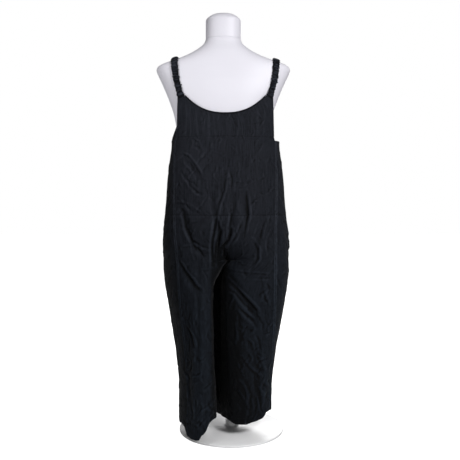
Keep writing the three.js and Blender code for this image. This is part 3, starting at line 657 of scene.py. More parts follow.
def ripple_height(seed, x, z):
    """Fine upright ripples below the neckline."""
    random = np.random.default_rng(seed)
    total = np.zeros(x.shape)
    for i in range(RIPPLES):
        middle = -RIPPLES_EDGE + 2 * RIPPLES_EDGE * (i + random.uniform(0.2, 0.8)) / RIPPLES
        sway = random.normal(0, 4)
        line = middle + sway * np.sin((z - CHEST_SEAM) / 40)
        fade = smooth(z, 900, 940) * (1 - smooth(z, 990, 1030))
        height, width = random.uniform(0.5, 1.3), random.uniform(4, 7)
        total += height * fade * np.exp(-(((x - line) / width) ** 2))
    return total


def mound(x, z, at, reach):
    """1 at a place, and falling away softly round it."""
    return np.exp(-(((x - at[0]) / reach[0]) ** 2) - ((z - at[1]) / reach[1]) ** 2)


# Painted shade where the cloth lies in shadow: between the legs, low inside the right leg, and down the
# left side, which turns away from the light. Each pair is where that starts and where it ends: heights,
# then distances from the middle, then how far the cloth is turned to the left.
LOW_DOWN = (60, 640)
UNDER_CROTCH = (575, 640)
INSIDE_RIGHT_ENDS = (440, CROTCH + 10)
INSIDE_RIGHT_HIGH = (-10, 20)
INSIDE_RIGHT_LOW = (0, 150)
BESIDE_SPLIT = {"left": (-49, -38), "right": (2, 11)}
LEFT_SIDE_TURN = (0.6, 0.95)
SPLIT_SHADE = {"left": 0.5, "right": 0.45}
LEFT_SIDE_SHADE = 0.3


def painted_shade_share(half, points, normals):
    """Painted shade between the legs, low inside the right leg, down the left side and deep in creases.
    """
    x, z = points[..., 0] - GARMENT_X, points[..., 2]
    low = 1 - smooth(z, *LOW_DOWN)
    under = 1 - smooth(z, *UNDER_CROTCH)
    beside = smooth(x, *BESIDE_SPLIT[half])
    if half == "right":
        starts, ends = (lerp(*pair, low) for pair in zip(INSIDE_RIGHT_HIGH, INSIDE_RIGHT_LOW))
        near = 1 - smooth(x, starts, ends)
        near = near * (1 - smooth(z, *INSIDE_RIGHT_ENDS)) + SPLIT_SHADE[half] * (1 - beside) * under
    else:
        turned = smooth(-normals[..., 0], *LEFT_SIDE_TURN)
        near = SPLIT_SHADE[half] * beside * under + LEFT_SIDE_SHADE * turned
    return crease_shade(CREASES["back"], x, z) + near


# Painted light on the upper left, by distances and heights, and on a spot on the seat
PALE_FROM = (-178, -150)
PALE_TO = (-80, 20)
PALE_UP_FROM = (560, 760)
PALE_UP_TO = (1010, 1060)
PALE_SEAT = 1.1
PALE_SEAT_AT = (22, 566)
PALE_SEAT_REACH = (17, 26)


def painted_light_share(x, z):
    """Painted light: paler on the upper left, and on a spot on the seat where shade falls."""
    across = smooth(x, *PALE_FROM) * (1 - smooth(x, *PALE_TO))
    seat = mound(x, z, PALE_SEAT_AT, PALE_SEAT_REACH)
    return across * smooth(z, *PALE_UP_FROM) * (1 - smooth(z, *PALE_UP_TO)) + PALE_SEAT * seat


WASH = {"back": wash_creases(WASH_SEED), "front": wash_creases(WASH_SEED + 1)}
SIDE_WASH = {
    "left": wash_creases(WASH_SEED + 2)[:SIDE_WASH_CREASES],
    "right": wash_creases(WASH_SEED + 3)[:SIDE_WASH_CREASES],
}
WAVES = crinkle_waves(WASH_SEED + 5)


def relief(half, angle, points, normals):
    """How far the cloth stands out from its plain surface."""
    x, y, z = points[..., 0] - GARMENT_X, points[..., 1], points[..., 2]
    facing = smooth(np.abs(normals[..., 1]), 0.15, 0.6)
    flank = smooth(np.abs(normals[..., 0]), 0.55, 0.9) * (1 - facing * 0.6)
    total = np.zeros(x.shape)
    for face, seed, here in (("back", WASH_SEED, angle >= 0), ("front", WASH_SEED + 9, angle < 0)):
        if here.any():
            total += (here * facing) * (
                fold_height(face, x, z)
                + crease_height(CREASES[face], x, z)
                + crease_height(WASH[face], x, z)
                + ripple_height(seed, x, z)
            )
    total += INSEAM_FULLNESS[half] * mound(np.pi - np.abs(angle), z, INSEAM_AT, INSEAM_REACH)
    if half == "right":
        total += SEAT_FILL * facing * (angle >= 0) * mound(x, z, SEAT_AT, SEAT_REACH)
    total += crinkle_height(WAVES, x + 0.8 * y, z)
    total += flank * crease_height(SIDE_CREASES[half], y, z)
    total += flank * crease_height(SIDE_WASH[half], y, z)
    total += flank * pocket_height(y, z)
    return total


# ---------------------------------------------------------------- panels


def spread(length, step, first=(), last=()):
    """Shares of a length, step apart, with closer ones near its ends."""
    count = max(2, round(length / step))
    places = set(np.linspace(0, length, count + 1))
    places = [p for p in places if p >= max(first, default=0) + step * 0.4 or p == 0]
    places = [p for p in places if p <= length - max(last, default=0) - step * 0.4 or p == length]
    places += list(first) + [length - d for d in last]
    return np.array(sorted(places)) / length


# A seam whose ridge is higher than this is rubbed paler along it, by so much for its height, and
# any seam is darker in its groove
SEAM_RUBBED = 1.0
SEAM_RUB = 0.8
SEAM_SHADE = 0.9

# How much small folds are rubbed paler along their tops and given painted shade in their bottoms, how
# strong the painted shade is where the cloth lies in shadow, and how strong the painted light is where it
# is palest
FOLD_RUB_AND_SHADE = 0.6
SHADE_PAINTING = 1.3
PAINTED_LIGHT = 0.16

# How often the cloth is evened out to find what stands above it, and the most that counts
CREST_SMOOTHINGS = 14
CREST_MOST = 1.2

# Across a seam, from its edge: how deep or high if given, how far away, and how wide
GROOVE = (-0.35, 0.0, 0.9)
ALLOWANCE = (3.2, 2.0)
RUBBED_BAND = (3.0, 2.0)
SHADED_BAND = (0.0, 1.4)
PUCKER = (0.4, 2.5, 5)

# Places near a border, and the spacing of the grid on each face
EDGE = (0.7, 1.5, 2.4, 3.4, 4.5, 5.8, 7.2)
HEM_EDGE = (1.5, 3, 5, 8)
GRID = {"back": 2.0, "front": 2.9}

# How long the cloth is that each grid's spacing divides, and the angle of the middle seam
YOKE_GRID_HEIGHT = 111
BODICE_GRID = {"back": 160, "front": 300}
LEG_GRID = {"back": 190, "front": 370}
LEG_GRID_HEIGHT = 490
RISE_GRID_HEIGHT = 150
MIDDLE_ANGLE = {"back": np.pi, "front": -np.pi}

# About how high the hems hang, where the side seam's place is looked up
HEM_LEVEL = 45

# How far each kind of seam stands out
SIDE_SEAM = 1.3
INSEAM = 0.5
TURNED_EDGE = 0.6
FLAT_SEAM = 0.15


def even_angles(half, start, end, z, shares):
    """Angles at shares of the cloth's length from start to end, for each height."""
    fine = np.linspace(0, 1, 65)
    angles = start[:, None] + (end - start[:, None]) * fine
    points = cloth_point(half, angles, z[:, None])
    steps = np.linalg.norm(np.diff(points, axis=1), axis=2)
    along = np.concatenate([np.zeros((len(z), 1)), np.cumsum(steps, axis=1)], axis=1)
    return np.stack([np.interp(shares * a[-1], a, row) for a, row in zip(along, angles)])


class Panel:
    """A grid of cloth: its middle points and outward normals, rows up and columns to the right."""

    def __init__(self, name, face, points, normals, height, wear_and_painted_light=0.0):
        self.name, self.face = name, face
        self.normals = normals
        self.points = points + normals * height[..., None]
        self.across = self.lengths(axis=1)
        self.up = self.lengths(axis=0)
        self.wear_and_painted_light = wear_and_painted_light + np.zeros(height.shape)

    def lengths(self, axis):
        """How far each point is along its row or its column."""
        steps = np.linalg.norm(np.diff(self.points, axis=axis), axis=2)
        first = np.zeros_like(np.take(steps, [0], axis=axis))
        return np.concatenate([first, np.cumsum(steps, axis=axis)], axis=axis)

    def area(self):
        """The cloth's surface in square metres, creases and all."""
        across = self.points[:-1, 1:] - self.points[:-1, :-1]
        up = self.points[1:, :-1] - self.points[:-1, :-1]
        return np.linalg.norm(np.cross(across, up), axis=2).sum() * MM * MM


def pucker(seed, along):
    """Uneven pinches along a row of stitches, 6 to 14 mm apart."""
    random = np.random.default_rng(seed)
    total = np.zeros(along.shape)
    for _ in range(4):
        pitch = random.uniform(6, 14)
        strength, shift = random.uniform(0.5, 1), random.uniform(0, ANY_START)
        total += strength * np.sin(2 * np.pi * along / pitch + shift)
    return total / 4


def uneven(seed, along, low):
    """A slow wander between low and 1 along a seam."""
    random = np.random.default_rng(seed + 100)
    total = np.zeros(along.shape)
    for pitch in (23, 57, 141):
        length, shift = pitch * random.uniform(0.8, 1.2), random.uniform(0, ANY_START)
        total += np.sin(2 * np.pi * along / length + shift)
    return low + (1 - low) * (0.5 + total / 6)


def band(distance, away, width):
    """1 at a distance from an edge, and falling away softly to both sides."""
    return np.exp(-(((distance - away) / width) ** 2))


def seam_profile(distance, ridge, along, seed):
    """A sewn edge: a fine groove, the folded allowance raised beside it, and puckers."""
    groove = GROOVE[0] * band(distance, *GROOVE[1:])
    raised = ridge * uneven(seed, along, 0.55) * band(distance, *ALLOWANCE)
    pinched = PUCKER[0] * pucker(seed, along) * band(distance, *PUCKER[1:])
    return groove + raised + pinched


def make_panel(name, face, parts, edges):
    """A panel from parts of (half, angles, heights), with a seam's ridge for each of edges."""
    points, normals, heights, painted_shades = [], [], [], []
    for half, angles, z in parts:
        p, n = cloth_point(half, angles, z), cloth_normal(half, angles, z)
        points.append(p)
        normals.append(n)
        heights.append(relief(half, angles, p, n))
        # Painted shade where the cloth lies in shadow and deep in creases
        painted_shades.append(painted_shade_share(half, p, n))
    p, n, h, u = (np.concatenate(several, axis=1) for several in (points, normals, heights, painted_shades))
    if face == "front":
        p, n, h, u = p[:, ::-1], n[:, ::-1], h[:, ::-1], u[:, ::-1]
    panel = Panel(name, face, p, n, h)
    extra, wear_and_painted_light = np.zeros(h.shape), np.zeros(h.shape)
    across, up = panel.across, panel.up
    for seed, (border, ridge) in enumerate(edges.items()):
        distance, along = {
            "left": (across, up),
            "right": (across[:, -1:] - across, up),
            "bottom": (up, across),
            "top": (up[-1:] - up, across),
        }[border]
        extra += seam_profile(distance, ridge, along, seed + len(name))
        if ridge > SEAM_RUBBED:
            wear_and_painted_light += SEAM_RUB * ridge * uneven(seed, along, 0.15) * band(distance, *RUBBED_BAND)
        wear_and_painted_light -= SEAM_SHADE * uneven(seed + 7, along, 0.0) * band(distance, *SHADED_BAND)
    # Painted light on the upper left and on the seat
    painted_lit = painted_light_share(p[..., 0] - GARMENT_X, p[..., 2])
    # Fold tops rubbed paler and fold bottoms in painted shade, painted shade where the cloth lies in
    # shadow, and painted light where it is palest
    wear_and_painted_light += FOLD_RUB_AND_SHADE * crest(h + extra) - SHADE_PAINTING * u + PAINTED_LIGHT * painted_lit
    return Panel(name, face, panel.points, n, extra, wear_and_painted_light)


def crest(height):
    """Above 0 along the tops of small folds and below 0 in their bottoms."""
    flat = height.copy()
    for _ in range(CREST_SMOOTHINGS):
        flat[1:-1] = (flat[:-2] + 2 * flat[1:-1] + flat[2:]) / 4
        flat[:, 1:-1] = (flat[:, :-2] + 2 * flat[:, 1:-1] + flat[:, 2:]) / 4
    return np.clip(height - flat, -CREST_MOST, CREST_MOST)


def yoke_top(x):
    """The neckline's height: a scoop that rises to the tabs."""
    out = np.minimum(1, np.abs(x) / TAB_INNER)
    return NECKLINE + (TAB_TOP - NECKLINE) * out**SCOOP_POWER


def yoke_angles(face, x, z):
    """The angles round the body at distances from the middle."""
    across = np.abs(x) / value_at(BODY, COLUMNS, "side", z)
    angle = 2 * np.arccos(across ** (BODY_SQUARE / 2))
    return angle if face == "back" else -angle


def yoke_across(step):
    """Distances from the middle for the columns of a yoke's grid."""
    shares = spread(2 * YOKE_EDGE, step, EDGE, EDGE)
    return YOKE_EDGE * (2 * shares - 1)


def yoke_parts(face, across, x, z):
    """The two halves of a grid that crosses the middle."""
    parts = []
    for half, here in (("left", across < 0), ("right", across >= 0)):
        parts.append((half, yoke_angles(face, x[:, here], z[:, here]), z[:, here]))
    return parts


def make_yoke(face):
    """From the chest seam up to the neckline and the tabs."""
    step = GRID[face]
    across = yoke_across(step)
    up = spread(YOKE_GRID_HEIGHT, step, EDGE, EDGE)
    x = across[None, :] * lerp(1 + YOKE_FLARE, 1, up[:, None])
    top = yoke_top(across) - BINDING_HEIGHT * (np.abs(across) < TAB_INNER)
    z = lerp(CHEST_SEAM, top[None, :], up[:, None])
    edges = {"bottom": FLAT_SEAM, "left": TURNED_EDGE, "right": TURNED_EDGE}
    return make_panel(f"{face}_yoke", face, yoke_parts(face, across, x, z), edges)


def make_neck_binding(face):
    """The narrow band along the scoop, between the tabs."""
    across = np.array([x for x in yoke_across(3) if abs(x) < TAB_INNER - 1])
    levels = np.array([-0.2, 0.0, 0.25, 0.5, 0.75, 1.0])
    z = yoke_top(across)[None, :] - BINDING_HEIGHT * (1 - levels[:, None])
    x = np.repeat(across[None, :], len(levels), axis=0)
    return make_panel(f"{face}_neck_binding", face, yoke_parts(face, across, x, z), {})


def bodice_top(face, half, angle, seam):
    """The bodice's upper edge: level at the chest seam, and hollowed under each arm."""
    if face == "back":
        return np.full_like(angle, CHEST_SEAM)
    top = lerp(ARMHOLE + UNDERARM_RISE, CHEST_SEAM, smooth(-angle, 0.5, 1.15))
    if half == "left":
        top = top + UNDERARM_REACH * np.clip(angle / seam, 0, 1) ** 2
    return top


def make_bodice(face):
    """From the waist seam up to the chest seam and, at the sides, the armholes."""
    step = GRID[face]
    levels = WAIST_SEAM + (ARMHOLE - WAIST_SEAM) * spread(ARMHOLE - WAIST_SEAM, step, EDGE, ())
    topmost = np.linspace(0, 1, 17)[1:]
    shares = spread(BODICE_GRID[face], step, EDGE, ())
    parts = []
    for half in ("left", "right"):
        seam = seam_angle(half, levels)
        angles = even_angles(half, seam, MIDDLE_ANGLE[face], levels, shares)
        heights = np.repeat(levels[:, None], len(shares), axis=1)
        corner = angles[-1]
        top = lerp(ARMHOLE, bodice_top(face, half, corner, seam[-1]), topmost[:, None])
        beside = np.clip(corner / seam[-1], 0, 1)
        over = corner + (seam_angle(half, top[:, :1]) - seam[-1]) * beside
        angles, heights = np.vstack([angles, over]), np.vstack([heights, top])
        if half == "right":
            angles, heights = angles[:, ::-1][:, 1:], heights[:, ::-1][:, 1:]
        parts.append((half, angles, heights))
    edges = {"left": SIDE_SEAM, "right": SIDE_SEAM, "top": FLAT_SEAM, "bottom": FLAT_SEAM}
    return make_panel(f"{face}_bodice", face, parts, edges)


def outer_border(face, half):
    """On which side of its panel a leg has its side seam."""
    return "left" if (half == "left") == (face == "back") else "right"


def make_leg(face, half):
    """From the hem up to the waist seam, from the side seam to the middle."""
    step = GRID[face]
    lower = spread(LEG_GRID_HEIGHT, step, HEM_EDGE, ())
    turns = np.linspace(0, np.pi / 2, round(RISE_GRID_HEIGHT / step))[1:]
    upper = lerp(CROTCH, WAIST_SEAM, 1 - np.cos(turns))
    shares = spread(LEG_GRID[face], step, EDGE, EDGE)
    levels = np.concatenate([lerp(HEM_LEVEL, CROTCH, lower), upper])
    angles = even_angles(half, seam_angle(half, levels), MIDDLE_ANGLE[face], levels, shares)
    hem = value_at(HEMS[half], HEM_COLUMNS, "height", np.degrees(angles[: len(lower)]))
    above = np.repeat(upper[:, None], len(shares), axis=1)
    heights = np.vstack([lerp(hem, CROTCH, lower[:, None]), above])
    if half == "right":
        angles, heights = angles[:, ::-1], heights[:, ::-1]
    outer = outer_border(face, half)
    inner = "right" if outer == "left" else "left"
    edges = {outer: SIDE_SEAM, inner: INSEAM, "top": FLAT_SEAM}
    return make_panel(f"{face}_leg_{half}", face, [(half, angles, heights)], edges)


# ---------------------------------------------------------------- meshes


def link(name, mesh):
    """Puts a mesh into the scene."""
    piece = bpy.data.objects.new(name, mesh)
    bpy.context.collection.objects.link(piece)
    return piece


def grid_mesh(name, points, across, up, closed=False):
    """A smooth mesh from rows of points in millimetres, with its own lengths as UVs in metres."""
    rows, columns = points.shape[:2]
    index = np.arange(rows * columns).reshape(rows, columns)
    right = np.roll(index, -1, axis=1) if closed else index[:, 1:]
    left = index if closed else index[:, :-1]
    quads = np.stack([left[:-1], right[:-1], right[1:], left[1:]], axis=-1).reshape(-1, 4)
    mesh = bpy.data.meshes.new(name)
    mesh.from_pydata((points.reshape(-1, 3) * MM).tolist(), [], quads.tolist())
    layer = mesh.uv_layers.new(name="cut")
    uv = np.stack([across, up], axis=-1).reshape(-1, 2) * MM
    corners = np.zeros(len(mesh.loops), int)
    mesh.loops.foreach_get("vertex_index", corners)
    layer.data.foreach_set("uv", uv[corners].ravel())
    mesh.shade_smooth()
    return mesh


def cloth_piece(panel, wall=WALL):
    """A panel as cloth of its own thickness, with its wear, painted light and painted shade kept on its
    points.
    """
    mesh = grid_mesh(panel.name, panel.points, panel.across, panel.up)
    worn_and_lit = mesh.attributes.new("wear_and_painted_light", "FLOAT", "POINT")
    worn_and_lit.data.foreach_set("value", panel.wear_and_painted_light.ravel())
    piece = link(f"cloth_{panel.name}", mesh)
    thick = piece.modifiers.new("wall", "SOLIDIFY")
    thick.thickness = wall * MM
    thick.offset = 0
    thick.use_rim = True
    return piece


def dress(piece, node, material):
    """Joins a piece to the body, hides the solid it stands for, and gives it its material."""
    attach(piece, "root")
    if node:
        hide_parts(node)
    piece.data.materials.clear()
    piece.data.materials.append(material)


# ---------------------------------------------------------------- materials


def new_group(name, inputs, outputs):
    """An empty node group with its sockets."""
    group = bpy.data.node_groups.new(name, "ShaderNodeTree")
    for label, kind, default in inputs:
        socket = group.interface.new_socket(label, in_out="INPUT", socket_type=kind)
        if default is not None:
            socket.default_value = default
    for label, kind in outputs:
        group.interface.new_socket(label, in_out="OUTPUT", socket_type=kind)
    return group, group.nodes.new("NodeGroupInput"), group.nodes.new("NodeGroupOutput")


def add_node(tree, kind, links=(), **values):
    """A node with its settings and plain socket values, and its inputs linked."""
    node = tree.nodes.new(kind)
    for key, value in values.items():
        if hasattr(node, key):
            setattr(node, key, value)
        else:
            node.inputs[key.replace("_", " ")].default_value = value
    for name, source in links:
        tree.links.new(source, node.inputs[name])
    return node


def maths(tree, operation, a, b=None):
    """One sum of two values, each a number or a socket."""
    node = tree.nodes.new("ShaderNodeMath")
    node.operation = operation
    for socket, value in zip(node.inputs, (a, b)):
        if value is None:
            continue
        if isinstance(value, (int, float)):
            socket.default_value = value
        else:
            tree.links.new(value, socket)
    return node.outputs[0]


def noise(tree, vector, scale, detail, **settings):
    """How a cloudy noise changes over the surface."""
    cloudy = add_node(
        tree, "ShaderNodeTexNoise", [("Vector", vector)], **settings, Scale=scale, Detail=detail
    )
    return cloudy.outputs["Fac"]


def ramp(tree, value, low, high, ends=(0.0, 1.0)):
    """From one colour to another as the value goes from end to end."""
    node = add_node(tree, "ShaderNodeValToRGB", [("Fac", value)])
    for element, colour, end in zip(node.color_ramp.elements, (low, high), ends):
        element.position = end
        element.color = (*colour, 1)
    return node


def cover(tree, factor, under, over):
    """One plain colour laid over another as far as the factor says."""
    node = add_node(tree, "ShaderNodeMix", data_type="RGBA")
    tree.links.new(factor, node.inputs["Factor"])
    tree.links.new(under, node.inputs["A"])
    node.inputs["B"].default_value = (*over, 1)
    return node.outputs["Result"]


def add_bump(tree, shader, height, strength, distance):
    """Fine relief on a surface from a height."""
    bump = add_node(tree, "ShaderNodeBump", [("Height", height)], Strength=strength, Distance=distance)
    tree.links.new(bump.outputs["Normal"], shader.inputs["Normal"])


def drawn_out(group, cut, scale, detail, roughness):
    """Noise drawn out along one of the cut's two directions, as uneven threads are."""
    thread = add_node(group, "ShaderNodeMapping", [("Vector", cut)], Scale=scale)
    return noise(
        group, thread.outputs["Vector"], 1.0, detail, noise_dimensions="2D", Roughness=roughness
    )


def weave_group():
    """Plain woven cloth on the cut's own lengths: thread height, and a mask of slubbed threads."""
    group, given, out = new_group(
        "plain_weave",
        [("Cut", "NodeSocketVector", None), ("Threads", "NodeSocketFloat", 900.0)],
        [("Height", "NodeSocketFloat"), ("Slub", "NodeSocketFloat")],
    )
    split = add_node(group, "ShaderNodeSeparateXYZ", [("Vector", given.outputs["Cut"])])
    warp = maths(group, "MULTIPLY", split.outputs["X"], given.outputs["Threads"])
    weft = maths(group, "MULTIPLY", split.outputs["Y"], given.outputs["Threads"])
    over = maths(group, "SINE", maths(group, "MULTIPLY", warp, math.tau))
    under = maths(group, "SINE", maths(group, "MULTIPLY", weft, math.tau))
    woven = maths(group, "MULTIPLY", over, under)
    cut = given.outputs["Cut"]
    slub = drawn_out(group, cut, (900.0, 26.0, 1.0), 2.0, 0.6)
    cross = drawn_out(group, cut, (40.0, 1100.0, 1.0), 2.0, 0.6)
    streak = drawn_out(group, cut, (230.0, 17.0, 1.0), 3.0, 0.65)
    both = maths(group, "ADD", maths(group, "MULTIPLY", slub, 0.35), maths(group, "MULTIPLY", cross, 0.2))
    both = maths(group, "ADD", both, maths(group, "MULTIPLY", streak, 0.45))
    woven, uneven_threads = maths(group, "MULTIPLY", woven, 0.35), maths(group, "MULTIPLY", both, 1.6)
    height = maths(group, "ADD", woven, uneven_threads)
    group.links.new(height, out.inputs["Height"])
    group.links.new(both, out.inputs["Slub"])
    return group


WEAVE = weave_group()


def new_material(name):
    """A plain material and its nodes."""
    material = bpy.data.materials.new(name)
    material.use_nodes = True
    tree = material.node_tree
    return material, tree, tree.nodes["Principled BSDF"]


# Painted shade: the legs are darker and bluer than the upper part, standing in for light that falls off
# downwards: the tint, and the heights in metres between which it ends
LOW_PAINTED_SHADE = (0.55, 0.68, 0.74)
LOW_PAINTED_SHADE_ENDS = (0.3, 0.8)

# Threads to a metre, and where each mask starts and is full, and how strong it then is
THREADS = 850.0
THREAD_FADE = (0.4, 0.61)
CLOUD_FADE = (0.4, 0.62)
FADED_SHARE = 0.72
# Span and strength of paler rubbed wear with painted light, then of painted shade
RUB_AND_LIGHT = (0.06, 1.1)
RUB_AND_LIGHT_SHARE = 0.85
PAINTED_SHADE = (-0.06, -0.7)
PAINTED_SHADE_SHARE = 0.9


def spanned(tree, value, start, full):
    """0 until the value reaches start, and 1 from full on."""
    node = add_node(tree, "ShaderNodeMapRange", [("Value", value)], From_Min=start, From_Max=full)
    return node.outputs["Result"]


def cloth_material(name, dark, light, faded, worn_and_lit, weave_depth):
    """Washed cloth: slubbed threads, a cloudy fade, rubbed wear, painted light and painted shade, and a
    bump from the weave.
    """
    material, tree, shader = new_material(name)
    cut = add_node(tree, "ShaderNodeUVMap", uv_map="cut")
    weave = tree.nodes.new("ShaderNodeGroup")
    weave.node_tree = WEAVE
    tree.links.new(cut.outputs["UV"], weave.inputs["Cut"])
    weave.inputs["Threads"].default_value = THREADS
    place = add_node(tree, "ShaderNodeTexCoord")
    threads = ramp(tree, weave.outputs["Slub"], dark, light, THREAD_FADE)
    cloud = noise(tree, place.outputs["Object"], 11.0, 4.0, Roughness=0.6)
    blotch = noise(tree, place.outputs["Object"], 62.0, 3.0, Roughness=0.6)
    cloud, blotch = maths(tree, "MULTIPLY", cloud, 0.5), maths(tree, "MULTIPLY", blotch, 0.5)
    patchy = maths(tree, "ADD", cloud, blotch)
    fade = spanned(tree, patchy, *CLOUD_FADE)
    mixed = cover(tree, maths(tree, "MULTIPLY", fade, FADED_SHARE), threads.outputs["Color"], faded)
    wear_and_painted_light = add_node(tree, "ShaderNodeAttribute", attribute_name="wear_and_painted_light").outputs["Fac"]
    # Paler where rubbed, and painted light on the upper left and the seat
    rub_and_painted_light = maths(tree, "MULTIPLY", spanned(tree, wear_and_painted_light, *RUB_AND_LIGHT), RUB_AND_LIGHT_SHARE)
    edges = cover(tree, rub_and_painted_light, mixed, worn_and_lit)
    # Painted shade: darker between the legs, inside the right leg, down the left side, in crease and fold
    # bottoms, between strap ruffles and in seam grooves
    painted_shade_mask = maths(tree, "MULTIPLY", spanned(tree, wear_and_painted_light, *PAINTED_SHADE), PAINTED_SHADE_SHARE)
    deep = cover(tree, painted_shade_mask, edges, tuple(channel * 0.25 for channel in dark))
    height = add_node(tree, "ShaderNodeSeparateXYZ", [("Vector", place.outputs["Object"])])
    # Painted shade: darker and bluer towards the bottom
    low_shade = ramp(tree, height.outputs["Z"], LOW_PAINTED_SHADE, (1, 1, 1), LOW_PAINTED_SHADE_ENDS)
    low_shade.color_ramp.interpolation = "EASE"
    low_shaded = add_node(tree, "ShaderNodeMix", data_type="RGBA", blend_type="MULTIPLY")
    low_shaded.inputs["Factor"].default_value = 1.0
    tree.links.new(deep, low_shaded.inputs["A"])
    tree.links.new(low_shade.outputs["Color"], low_shaded.inputs["B"])
    tree.links.new(low_shaded.outputs["Result"], shader.inputs["Base Color"])
    add_bump(tree, shader, weave.outputs["Height"], 0.5, weave_depth)
    shader.inputs["Roughness"].default_value = 0.72
    shader.inputs["Sheen Weight"].default_value = 0.03
    shader.inputs["Sheen Roughness"].default_value = 0.4
    shader.inputs["Specular IOR Level"].default_value = 0.09
    return material


def shell_material():
    """The form's satin moulded shell: hardly mottled, with a trace of orange peel."""
    material, tree, shader = new_material("form_white")
    place = add_node(tree, "ShaderNodeTexCoord")
    mottle = noise(tree, place.outputs["Object"], 5.0, 3.0)
    tint = ramp(tree, mottle, (0.61, 0.60, 0.655), (0.68, 0.67, 0.725))
    tree.links.new(tint.outputs["Color"], shader.inputs["Base Color"])
    peel = noise(tree, place.outputs["Object"], 420.0, 2.0)
    add_bump(tree, shader, peel, 0.15, 0.0004)
    shader.inputs["Roughness"].default_value = 0.5
    shader.inputs["Specular IOR Level"].default_value = 0.35
    return material


def coat_material():
    """White powder coat on the stand: fine grain, and a little uneven dirt."""
    material, tree, shader = new_material("stand_white")
    place = add_node(tree, "ShaderNodeTexCoord")
    grain = noise(tree, place.outputs["Object"], 900.0, 2.0)
    dust = noise(tree, place.outputs["Object"], 26.0, 5.0)
    tint = ramp(tree, dust, (0.88, 0.88, 0.89), (0.94, 0.94, 0.945), (0.3, 1.0))
    tree.links.new(tint.outputs["Color"], shader.inputs["Base Color"])
    add_bump(tree, shader, grain, 0.2, 0.0003)
    shader.inputs["Roughness"].default_value = 0.38
    return material


def thread_material():
    """Sewing thread, a little darker than the cloth and twisted."""
    material, tree, shader = new_material("thread_black")
    place = add_node(tree, "ShaderNodeTexCoord")
    twist = noise(tree, place.outputs["Object"], 1500.0, 1.0)
    tint = ramp(tree, twist, (0.003, 0.0033, 0.0042), (0.009, 0.0096, 0.012))
    tree.links.new(tint.outputs["Color"], shader.inputs["Base Color"])
    shader.inputs["Roughness"].default_value = 0.7
    shader.inputs["Specular IOR Level"].default_value = 0.12
    return material


CLOTH = cloth_material(
    "cloth_black",
    dark=(0.0026, 0.0033, 0.0052),
    light=(0.0130, 0.0146, 0.0202),
    faded=(0.0108, 0.0121, 0.0168),
    worn_and_lit=(0.0300, 0.0335, 0.0440),
    weave_depth=0.0006,
)
BINDING = cloth_material(
    "binding_black",
    dark=(0.0016, 0.0020, 0.0030),
    light=(0.0058, 0.0066, 0.0096),
    faded=(0.0046, 0.0052, 0.0078),
    worn_and_lit=(0.0130, 0.0145, 0.0195),
    weave_depth=0.0005,
)
SHELL = shell_material()
COAT = coat_material()
THREAD = thread_material()

# ---------------------------------------------------------------- the garment


def add_panel(panel):
    """A panel of hanging cloth."""
    piece = cloth_piece(panel)
    dress(piece, panel.name, CLOTH)
    panel.area()


STITCH = 3.0
STITCH_GAP = 1.1
THREAD_WIDTH = 0.55

# How far in from the border each row of stitches runs
FLAT_SEAM_STITCHES = 4
SIDE_SEAM_STITCHES = 5.5
TURNED_EDGE_STITCHES = 7
HEM_STITCHES = 20


def edge_line(panel, border, inset):
    """Points and normals on a panel's outside, a distance in from one border."""
    across, up = panel.across, panel.up
    points, normals = panel.points, panel.normals
    if border in ("top", "bottom"):
        distance = up if border == "bottom" else up[-1:] - up
        lines = [(distance[:, i], points[:, i], normals[:, i]) for i in range(points.shape[1])]
    else:
        distance = across if border == "left" else across[:, -1:] - across
        lines = [(distance[j], points[j], normals[j]) for j in range(points.shape[0])]
    found = []
    for away, p, n in lines:
        order = np.argsort(away)
        place = [np.interp(inset, away[order], p[order, k]) for k in range(3)]
        facing = [np.interp(inset, away[order], n[order, k]) for k in range(3)]
        found.append((place, facing))
    place = np.array([f[0] for f in found])
    facing = np.array([f[1] for f in found])
    facing /= np.linalg.norm(facing, axis=1, keepdims=True)
    return place + facing * WALL / 2, facing


def stitch_mesh(name, lines):
    """Rows of short raised stitches along lines of points and normals, as one mesh."""
    vertices, faces = [], []
    for points, normals in lines:
        steps = np.linalg.norm(np.diff(points, axis=0), axis=1)
        along = np.concatenate([[0], np.cumsum(steps)])
        count = int(along[-1] // (STITCH + STITCH_GAP))
        for i in range(count):
            start = (STITCH + STITCH_GAP) * i + STITCH_GAP / 2
            at = np.array([start, start + STITCH * 0.3, start + STITCH * 0.7, start + STITCH])
            lift = np.array([-0.1, 0.32, 0.32, -0.1])
            size = np.array([0.5, 1.0, 1.0, 0.5]) * THREAD_WIDTH / 2
            p = np.stack([np.interp(at, along, points[:, k]) for k in range(3)], axis=1)
            n = np.stack([np.interp(at, along, normals[:, k]) for k in range(3)], axis=1)
            forward = p[-1] - p[0]
            side = np.cross(n, forward)
            side /= np.maximum(np.linalg.norm(side, axis=1, keepdims=True), 1e-6)
            middle = p + n * lift[:, None]
            base = len(vertices)
            for m, up, s, r in zip(middle, n, side, size):
                vertices += [m + s * r, m + up * r, m - s * r, m - up * r]
            for ring in range(3):
                for k in range(4):
                    a, b = base + ring * 4 + k, base + ring * 4 + (k + 1) % 4
                    faces.append((a, b, b + 4, a + 4))
            faces.append((base + 3, base + 2, base + 1, base))
            faces.append((base + 12, base + 13, base + 14, base + 15))
    mesh = bpy.data.meshes.new(name)
    mesh.from_pydata((np.array(vertices) * MM).tolist(), [], faces)
    mesh.shade_smooth()
    return mesh


def add_stitches(name, lines):
    """Rows of stitches as one piece."""
    piece = link(name, stitch_mesh(name, lines))
    dress(piece, None, THREAD)
    return piece


def upper_border(panel):
    """The part of a yoke's upper border between the tabs."""
    inside = np.abs(panel.points[-1, :, 0] - GARMENT_X) < TAB_INNER
    place, facing = edge_line(panel, "top", TURNED_EDGE_STITCHES)
    return place[inside], facing[inside]


